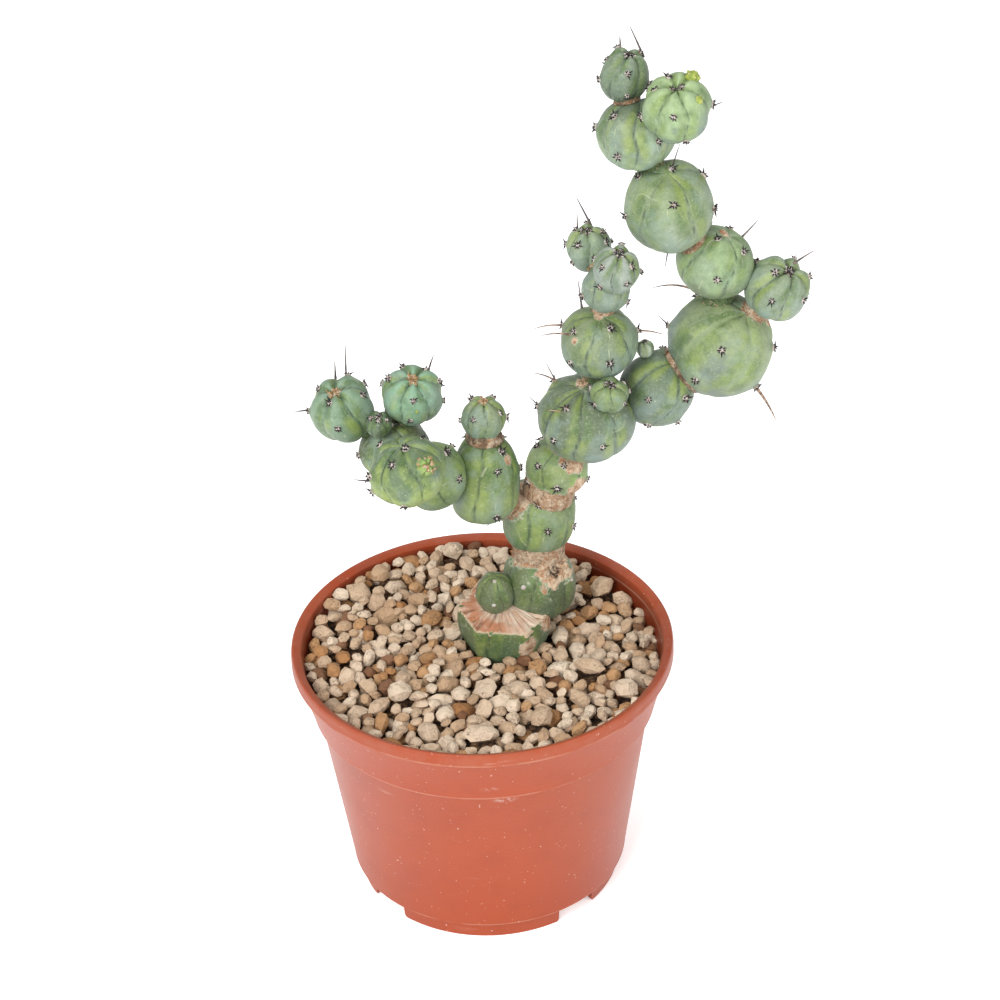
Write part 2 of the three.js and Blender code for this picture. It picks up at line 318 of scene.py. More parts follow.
def makeCamera():
    data = bpy.data.cameras.new("camera")
    data.lens = camera["lens"]
    data.sensor_width = camera["sensor"]
    eye = bpy.data.objects.new("camera", data)
    bpy.context.collection.objects.link(eye)
    down, turn, roll = (math.radians(camera[key]) for key in ("down", "turn", "roll"))
    forward = Vector((math.sin(turn) * math.cos(down), math.cos(turn) * math.cos(down), -math.sin(down)))
    level = Vector((math.cos(turn), -math.sin(turn), 0))
    upward = level.cross(forward)
    right = level * math.cos(roll) + upward * math.sin(roll)
    upward = upward * math.cos(roll) - level * math.sin(roll)
    place = potCentre + Vector((0, -camera["back"], camera["height"])) * mm
    eye.matrix_world = Matrix.Translation(place) @ Matrix((right, upward, -forward)).transposed().to_4x4()
    bpy.context.scene.camera = eye


studio = {
    "room": 0.5, "paper": 0.4,
    "lamps": [("keyLight", (-0.8, -1.25, 1.2), 1.0, 32), ("fillLight", (1.2, -1.0, 0.8), 1.1, 13),
              ("topLight", (-0.2, 0.6, 1.9), 1.4, 12)],
}


def makeStage():
    bpy.ops.mesh.primitive_plane_add(size=14, location=(0, 0, 0))
    floor = bpy.context.object
    floor.name = "floor"
    look, tree, shader = newMaterial("floorPaper", 0.9)
    shader.inputs["Base Color"].default_value = (0.95, 0.95, 0.95, 1)
    shader.inputs["Emission Color"].default_value = (1, 1, 1, 1)
    shader.inputs["Emission Strength"].default_value = studio["paper"]
    floor.data.materials.append(look)
    world = bpy.data.worlds.new("softRoom")
    world.use_nodes = True
    world.node_tree.nodes["Background"].inputs["Color"].default_value = (1, 1, 1, 1)
    world.node_tree.nodes["Background"].inputs["Strength"].default_value = studio["room"]
    bpy.context.scene.world = world
    for name, place, size, power in studio["lamps"]:
        data = bpy.data.lights.new(name, "AREA")
        data.size = size
        data.energy = power
        lamp = bpy.data.objects.new(name, data)
        bpy.context.collection.objects.link(lamp)
        lamp.location = place
        lamp.rotation_euler = (Vector((0, 0, 0.2)) - lamp.location).to_track_quat("-Z", "Y").to_euler()
    bpy.context.scene.view_settings.view_transform = "Standard"


# the pot's radii and heights in millimetres; smears are places in the frame
pot = {
    "sides": 192, "footRadius": 60.2, "footTop": 61, "footWall": 2.2, "footHeight": 9.1,
    "wallBottom": 63.2, "wallFlare": 0.1378, "wallThick": 2, "wallTop": 93,
    "collarBottom": 77, "collarTop": 83, "bandBottom": 116.3, "bandTop": 120.7,
    "ridge": 84.4, "mouthRadius": 80.6, "mouthHeight": 121, "baseUnder": 9.4, "baseTop": 11.4,
    "notches": 4, "notchHeading": -51, "notchDegrees": 19, "notchRound": 2.2, "notchInward": 5,
    "notchOutward": 2,
    "drains": 8, "drainRadius": 3.5, "drainRing": 47, "drainMiddle": 5, "mark": 0.22,
    "smears": [(-0.030, -0.073, 0.100), (-0.024, -0.070, 0.090), (0.051, -0.045, 0.044)],
}


def potInside(height):
    if height < pot["wallTop"]:
        return pot["wallBottom"] + pot["wallFlare"] * (height - pot["footHeight"]) - pot["wallThick"]
    share = (height - pot["wallTop"]) / (pot["mouthHeight"] - pot["wallTop"])
    low = pot["collarBottom"] - pot["wallThick"]
    return low + (pot["mouthRadius"] - low) * share


def potProfile():
    rim, height = (potHigh.x - potLow.x) / 2 / mm, (potHigh.z - potLow.z) / mm
    foot, wall, low, top, ridge, mouth = (pot[key] for key in (
        "footRadius", "wallBottom", "collarBottom", "collarTop", "ridge", "mouthRadius"))
    under, lift, step, band, bead, lip = (pot[key] for key in (
        "baseUnder", "footHeight", "wallTop", "bandBottom", "bandTop", "mouthHeight"))
    wallAt = lambda z: wall + pot["wallFlare"] * (z - lift)
    inner, mark = foot - pot["footWall"], pot["mark"]
    return [
        (0, under), (inner, under), (inner, 0.3), (inner + 0.3, 0), (foot - 0.4, 0), (foot, 0.4),
        (pot["footTop"], lift), (wall - 0.4, lift), (wall + mark, lift + 0.35), (wall + mark, lift + 0.8),
        (wallAt(11), 11), (wallAt(step - 1.2), step - 1.2), (wallAt(step) + 0.3, step - 0.5),
        (low - 0.6, step - 0.1), (low + mark, step + 0.3), (low + mark, step + 0.8),
        (low + 0.35, step + 1.4),
        (top - 0.2, band - 1.2), (top + 0.4, band - 0.2), (rim - 0.5, band), (rim, band + 0.3),
        (rim, band + 0.8), (rim - 0.2, band + 1.3), (rim - 0.05, bead - 0.6), (rim - 0.25, bead + 0.9),
        (ridge, height - 0.25), (ridge - 0.5, height), (ridge - 1.1, height - 0.2),
        (mouth + 0.5, lip), (mouth, lip - 0.5), (potInside(step + 1), step + 1),
        (potInside(step - 1), step - 1),
        (potInside(pot["baseTop"]), pot["baseTop"]), (0, pot["baseTop"]),
    ]


def spinProfile(profile, sides):
    piece = meshPiece([(r * mm, 0, z * mm) for r, z in profile], [])
    piece.data.edges.add(len(profile) - 1)
    for i, edge in enumerate(piece.data.edges):
        edge.vertices = (i, i + 1)
    editAll(piece,
            (bpy.ops.mesh.spin,
             {"steps": sides, "angle": 2 * math.pi, "center": (0, 0, 0), "axis": (0, 0, 1)}),
            (bpy.ops.mesh.select_all, {"action": "SELECT"}),
            (bpy.ops.mesh.remove_doubles, {"threshold": 1e-6}),
            (bpy.ops.mesh.normals_make_consistent, {"inside": False}))
    return piece


def notchCutter(heading):  # a block with a flat top whose lower edges flare, so that the feet end rounded
    half = pot["footRadius"] * math.sin(math.radians(pot["notchDegrees"] / 2))
    bend = pot["notchRound"]
    side = [(half, pot["footHeight"])]
    for angle in np.linspace(0, math.pi / 2, 7):
        side.append((half + bend * (1 - math.cos(angle)), bend * (1 - math.sin(angle))))
    side.append((half + bend, -3))
    outline = side + [(-x, z) for x, z in reversed(side)]
    near, far = pot["footRadius"] - pot["notchInward"], pot["footRadius"] + pot["notchOutward"]
    points = [(x * mm, -y * mm, z * mm) for y in (near, far) for x, z in outline]
    count = len(outline)
    faces = [list(range(count)), list(range(2 * count - 1, count - 1, -1))]
    faces += [[i + count, (i + 1) % count + count, (i + 1) % count, i] for i in range(count)]
    cutter = meshPiece(points, faces)
    cutter.rotation_euler = (0, 0, math.radians(heading))
    bakePlace(cutter)
    recalculateNormals(cutter)
    return cutter


def cutAway(piece, cutter):
    applyModifier(piece, "BOOLEAN", operation="DIFFERENCE", solver="EXACT", object=cutter)
    bpy.data.objects.remove(cutter)


def makePotLook():
    look, tree, shader = newMaterial("terracottaPlastic", 0.42)
    shader.inputs["Specular IOR Level"].default_value = 0.32
    clouds = blotches(tree, 9, 2.0, 0.35, 0.7)
    colour = mixColour(tree, clouds, srgb("b24720"), srgb("b84f25"))
    colour = tint(tree, colour, "a33f1c", blotches(tree, 55, 5.0, 0.45, 0.75), 0.35)
    spot = addNode(tree, "TexCoord").outputs["Object"]
    stretch = addNode(tree, "Mapping", {"Vector": spot, "Scale": (30, 30, 260)})
    rubbed = addNode(tree, "TexNoise", {"Vector": stretch.outputs[0], "Scale": 1.0, "Detail": 6.0})
    rubbed = rubbed.outputs["Fac"]
    scuff = times(tree, ramp(tree, rubbed, 0.64, 0.74), blotches(tree, 26, 8.0, 0.5, 0.72))
    colour = tint(tree, colour, "e9b9a6", scuff, 0.45)
    specks = blotches(tree, 700, 3.0, 0.73, 0.78, 1.0)
    colour = tint(tree, colour, "f0d6c6", specks, 0.6)
    height = addNode(tree, "SeparateXYZ", {0: spot}).outputs["Z"]
    # painted sheen, with some dust: the rim band above 115 mm is painted paler and greyer
    dustAndSheen = times(tree, ramp(tree, height, 0.115, 0.117), blotches(tree, 120, 6.0, 0.2, 0.7))
    colour = tint(tree, colour, "bb9482", dustAndSheen, 0.15)
    normal = addNode(tree, "NewGeometry").outputs["Normal"]
    spoke = vectors(tree, "SUBTRACT", spot, potCentre)[0]
    inward = vectors(tree, "DOT_PRODUCT", spoke, normal)["Value"]  # below nought on the pot's inner wall
    # painted shade: the pot's inner wall below the mouth is painted a dark red-brown
    inside = times(tree, ramp(tree, inward, -0.02, -0.05), ramp(tree, height, 0.1215, 0.115))
    colour = tint(tree, colour, "6b2814", inside, 0.75)
    # pale broken lines on the mould ridges at the pot's steps: wear, and painted highlight where the edges
    # catch light
    for level in (pot["bandBottom"] + 0.6, pot["wallTop"] + 0.5, pot["footHeight"] + 0.5):
        gap = maths(tree, "ABSOLUTE", maths(tree, "SUBTRACT", height, level * mm))
        worn = times(tree, ramp(tree, gap, 0.0, 0.0008, 1.0, 0.0), blotches(tree, 60, level, 0.3, 0.6))
        colour = tint(tree, colour, "e2ab93", worn, 0.4)
    for place in pot["smears"]:
        flat = vectors(tree, "MULTIPLY", vectors(tree, "SUBTRACT", spot, place)[0], (1, 1, 3.2))[0]
        far = vectors(tree, "LENGTH", flat)["Value"]
        smear = times(tree, ramp(tree, far, 0.002, 0.008, 1.0, 0.0),
                      blotches(tree, 420, 2.0, 0.42, 0.62, 5.0))
        colour = tint(tree, colour, "f3ddd0", smear, 0.8)
    rough = maths(tree, "ADD", times(tree, clouds, 0.1), 0.36)
    rough = maths(tree, "ADD", rough, times(tree, scuff, 0.2))
    ripple = maths(tree, "ADD", times(tree, rubbed, 0.5), blotches(tree, 900, 1.0, 0.2, 0.8))
    setLook(tree, shader, colour, ripple, 0.00012, 0.35, rough)
    return look


def makePot():
    piece = spinProfile(potProfile(), pot["sides"])
    for i in range(pot["notches"]):
        cutAway(piece, notchCutter(pot["notchHeading"] + 360 / pot["notches"] * i))
    drill = [(pot["drainMiddle"], 0, 0)]
    for i in range(pot["drains"]):
        angle = math.radians(pot["notchHeading"] + 360 / pot["drains"] * i)
        drill.append((pot["drainRadius"], pot["drainRing"] * math.sin(angle),
                      -pot["drainRing"] * math.cos(angle)))
    for radius, x, y in drill:
        bpy.ops.mesh.primitive_cylinder_add(vertices=32, radius=radius * mm, depth=8 * mm,
                                            location=(x * mm, y * mm, pot["baseTop"] * mm))
        cutAway(piece, bpy.context.object)
    piece.location = potCentre
    bakePlace(piece)
    givePiece(piece, "pot_moulding", "pot_plastic", [makePotLook()], 28, "pot")


# the bed of stones, in millimetres round the pot's axis
gravel = {
    "seed": 11, "lumps": 22, "points": 26, "tries": 6400, "choices": 5, "small": 4.6, "large": 10.5,
    "floor": 106, "top": 113.8, "rise": 7.4, "follow": 0.9, "cell": 0.75, "half": 82, "reach": 79.6,
    "grown": 1.1, "tan": 0.12, "brown": 0.02, "crumbRings": 46, "crumbSpokes": 120, "crumbRadius": 79.2,
    "crumbUnder": 103, "crumbRise": 0.6, "proudTilt": 0.15, "looseTilt": 0.6,
}
# the stones that stand proud: x, y, length, width, height, turn
proudStones = [
    (-12, 70, 10, 9, 8, 20), (-46, 53, 9, 8, 7, 70), (-2, -60, 15, 9, 7, 5), (62, -32, 11, 9, 7, 120),
    (47, -14, 14, 8, 6, 150), (-37, -28, 11, 9, 7, 40), (24, -50, 12, 9, 7, 85), (56, 42, 12, 9, 8, 60),
]


def bedHeight(x, y):  # the bed is heaped towards the back of the pot, most of all at the left
    return gravel["top"] + gravel["rise"] * smoothStep(-5, 68, y * 0.95 - x * 0.3)


def underHeight(x, y):  # what the lowest stones lie on follows the bed
    return gravel["floor"] + (bedHeight(x, y) - gravel["top"]) * gravel["follow"]


def makeLump(rng):  # one worn stone: the hull of points strewn over a rounded block
    block = Matrix.Rotation(rng.uniform(0, 3), 3, "X") @ Matrix.Rotation(rng.uniform(0, 3), 3, "Z")
    points = []
    while len(points) < gravel["points"]:
        way = Vector([rng.gauss(0, 1) for _ in range(3)]).normalized()
        if any((way - old[0]).length < 0.5 for old in points):
            continue
        side = block @ way
        square = sum(abs(part) ** 3 for part in side) ** (-1 / 3)
        points.append((way, way * square * rng.uniform(0.84, 1.05)))
    piece = meshPiece([spot for _, spot in points], [])
    editAll(piece, (bpy.ops.mesh.convex_hull, {}), (bpy.ops.mesh.quads_convert_to_tris, {}))
    shape = getPoints(piece)
    faces = [tuple(face.vertices) for face in piece.data.polygons]
    bpy.data.objects.remove(piece)
    return shape / np.abs(shape).max(0), faces


def makePumiceLook():
    look, tree, shader = newMaterial("pumiceGrain", 0.92)
    tone, tan = attribute(tree, "tone"), attribute(tree, "tan")
    pale, warm, brown = (mixColour(tree, tone, srgb(dark, 1.35), srgb(light, 1.35)) for dark, light in (
        ("c5a17d", "f1dcc3"), ("b07a48", "cfa274"), ("7a4e30", "946a4c")))
    colour = mixColour(tree, ramp(tree, tan, 0.1, 0.4), pale, warm)
    colour = mixColour(tree, ramp(tree, tan, 0.6, 0.9), colour, brown)
    stains = blotches(tree, 240, 1.0, 0.5, 0.72)
    colour = tint(tree, colour, "b08a66", stains, 0.35)
    pits = blotches(tree, 1500, 4.0, 0.58, 0.7, 2.0)
    # painted shade: the pumice's pits are painted a darker brown
    shadedPits = times(tree, pits, blotches(tree, 150, 6.0, 0.42, 0.62))
    colour = tint(tree, colour, "7d5f48", shadedPits, 0.5)
    worn = times(tree, blotches(tree, 420, 2.0, 0.25, 0.8), 0.7)
    setLook(tree, shader, colour, maths(tree, "SUBTRACT", worn, shadedPits), 0.0009, 0.9)
    return look


def meetsStump(x, y, size):
    dx, dy = x - growth["stump"]["centre"][0], y - growth["stump"]["centre"][1]
    return math.hypot(dx, dy) < growth["stump"]["size"][0] * 0.9 + size * 0.1


def meetsProud(x, y, reach, placed):
    return any(math.hypot(x - stone[0], y - stone[1]) < (stone[3] + stone[4]) / 4 + reach * 0.75
               for stone in placed[:len(proudStones)])


def dropStones(rng):  # each stone falls on the lowest of a few places, and raises the bed there
    cell, half = gravel["cell"], gravel["half"]
    axis = (np.arange(int(2 * half / cell)) + 0.5) * cell - half
    gridX, gridY = np.meshgrid(axis, axis, indexing="ij")
    bed = underHeight(gridX, gridY)
    placed = []
    for x, y, length, width, height, turn in proudStones:
        placed.append((x, y, bedHeight(x, y) + height * 0.2, length, width, height, turn, 0.0))
    for dropped in range(gravel["tries"]):
        later = 1 - 0.55 * dropped / gravel["tries"]
        size = gravel["small"] + (gravel["large"] - gravel["small"]) * rng.random() ** 1.4 * later
        length = size * rng.uniform(1.02, 1.5)
        width = size * rng.uniform(0.85, 1.05)
        height = size * rng.uniform(0.62, 0.9)
        reach = (length + width) / 4
        best = None
        for _ in range(gravel["choices"]):
            angle, radius = rng.uniform(0, 2 * math.pi), gravel["reach"] * math.sqrt(rng.random())
            x, y = radius * math.cos(angle), radius * math.sin(angle)
            outside = radius > gravel["reach"] - reach * 0.9
            if outside or meetsStump(x, y, size) or meetsProud(x, y, reach, placed):
                continue
            window = tuple(slice(int((value + half - reach) / cell), int((value + half + reach) / cell) + 1)
                           for value in (x, y))
            away = ((gridX[window] - x) ** 2 + (gridY[window] - y) ** 2) / reach ** 2
            belly = np.sqrt(np.clip(1 - away, 0, 1)) * height / 2
            rest = (bed[window] + belly)[away < 1].max()
            depth = bedHeight(x, y) - rest
            if best is None or depth > best[0]:
                best = (depth, rest, x, y, window, away < 1, belly)
        if best is None or best[0] < height * 0.22:
            continue
        _, rest, x, y, window, inside, belly = best
        middle = rest - height * 0.1
        bed[window] = np.where(inside, np.maximum(bed[window], middle + belly * 0.85), bed[window])
        # stones sunk deeper are more often tan or brown: partly their own colour, partly painted shade in
        # the gaps
        sunk = smoothStep(0, 4, bedHeight(x, y) - middle - height * 0.3)
        kind = rng.random()
        tan = 0.5 if kind < gravel["tan"] + 0.25 * sunk else 0.0
        tan = 1.0 if kind > 1 - gravel["brown"] - 0.1 * sunk else tan
        placed.append((x, y, middle, length, width, height, rng.uniform(0, 360), tan))
    return placed


def stonesPiece(stones, lumps, rng, tilt):
    points, faces, tones, tans = [], [], [], []
    start = 0
    for x, y, z, length, width, height, turn, tan in stones:
        shape, lumpFaces = lumps[rng.randrange(len(lumps))]
        pose = Matrix.Rotation(math.radians(turn), 3, "Z")
        pose = pose @ Matrix.Rotation(rng.uniform(-tilt, tilt), 3, "X")
        pose = pose @ Matrix.Rotation(rng.uniform(-tilt, tilt), 3, "Y")
        body = (shape * np.array([length, width, height]) / 2 * gravel["grown"]) @ np.array(pose).T
        points.append(body + np.array([x, y, z]))
        faces += [tuple(start + i for i in face) for face in lumpFaces]
        start += len(shape)
        tones += [rng.random()] * len(shape)
        tans += [tan] * len(shape)
    piece = meshPiece(inFrame(np.concatenate(points)), faces)
    setMask(piece, "tone", tones)
    setMask(piece, "tan", tans)
    recalculateNormals(piece)
    return piece


def makeCrumbs():  # the broken pumice that lies between the stones, over the soil; its dark brown also stands in for the shade in the gaps between the stones
    rings, spokes = gravel["crumbRings"], gravel["crumbSpokes"]
    points = []
    for under in (False, True):
        for ring in range(1, rings + 1):
            for spoke in range(spokes):
                angle, radius = 2 * math.pi * spoke / spokes, gravel["crumbRadius"] * ring / rings
                x, y = radius * math.cos(angle), radius * math.sin(angle)
                top = float(underHeight(x, y)) + gravel["crumbRise"]
                top += 1.2 * noise.noise(Vector((x, y, 0)) * 0.4) + 0.6 * noise.noise(Vector((x, y,
                                                                                              9)) * 1.1)
                points.append((x, y, gravel["crumbUnder"] if under else top))
    piece = meshPiece(inFrame(points), discFaces(rings, spokes))
    recalculateNormals(piece)
    look, tree, shader = newMaterial("pumiceCrumbs", 1.0)
    coords = addNode(tree, "TexCoord")
    cells = addNode(tree, "TexVoronoi", {"Vector": coords.outputs["Object"], "Scale": 420.0}, feature="F1")
    colour = mixColour(tree, blotches(tree, 200, 3.0, 0.35, 0.65), srgb("6b4a30"), srgb("a47c56"))
    # painted shade: the crumbs are painted near-black brown between their cells
    colour = tint(tree, colour, "3a2718", ramp(tree, cells.outputs["Distance"], 0.35, 0.75))
    setLook(tree, shader, colour, maths(tree, "SUBTRACT", 1.0, cells.outputs["Distance"]), 0.002)
    givePiece(piece, "pumice_crumbs", "pumice", [look], None)


def makeGravel():
    rng = random.Random(gravel["seed"])
    lumps = [makeLump(rng) for _ in range(gravel["lumps"])]
    placed = dropStones(rng)
    look = makePumiceLook()
    proud = len(proudStones)
    for number, stone in enumerate(placed[:proud], 1):
        piece = stonesPiece([stone], lumps, rng, gravel["proudTilt"])
        givePiece(piece, "pumice_large_%d" % number, "pumice", [look], 34, "pumice_stone_%d" % number)
    makeCrumbs()
    loose = stonesPiece(placed[proud:], lumps, rng, gravel["looseTilt"])
    givePiece(loose, "pumice_loose", "pumice", [look], 34, "pumice_dressing")
    print("stones:", len(placed), "faces:", len(loose.data.polygons))


def makeSoilLook():
    look, tree, shader = newMaterial("pottingSoil", 1.0)
    colour = mixColour(tree, blotches(tree, 300, 1.0), srgb("3a2517"), srgb("5c4029"))
    colour = tint(tree, colour, "8a6a4c", blotches(tree, 1200, 3.0, 0.62, 0.7))
    setLook(tree, shader, colour, blotches(tree, 700, 2.0, 0.2, 0.8), 0.001)
    return look
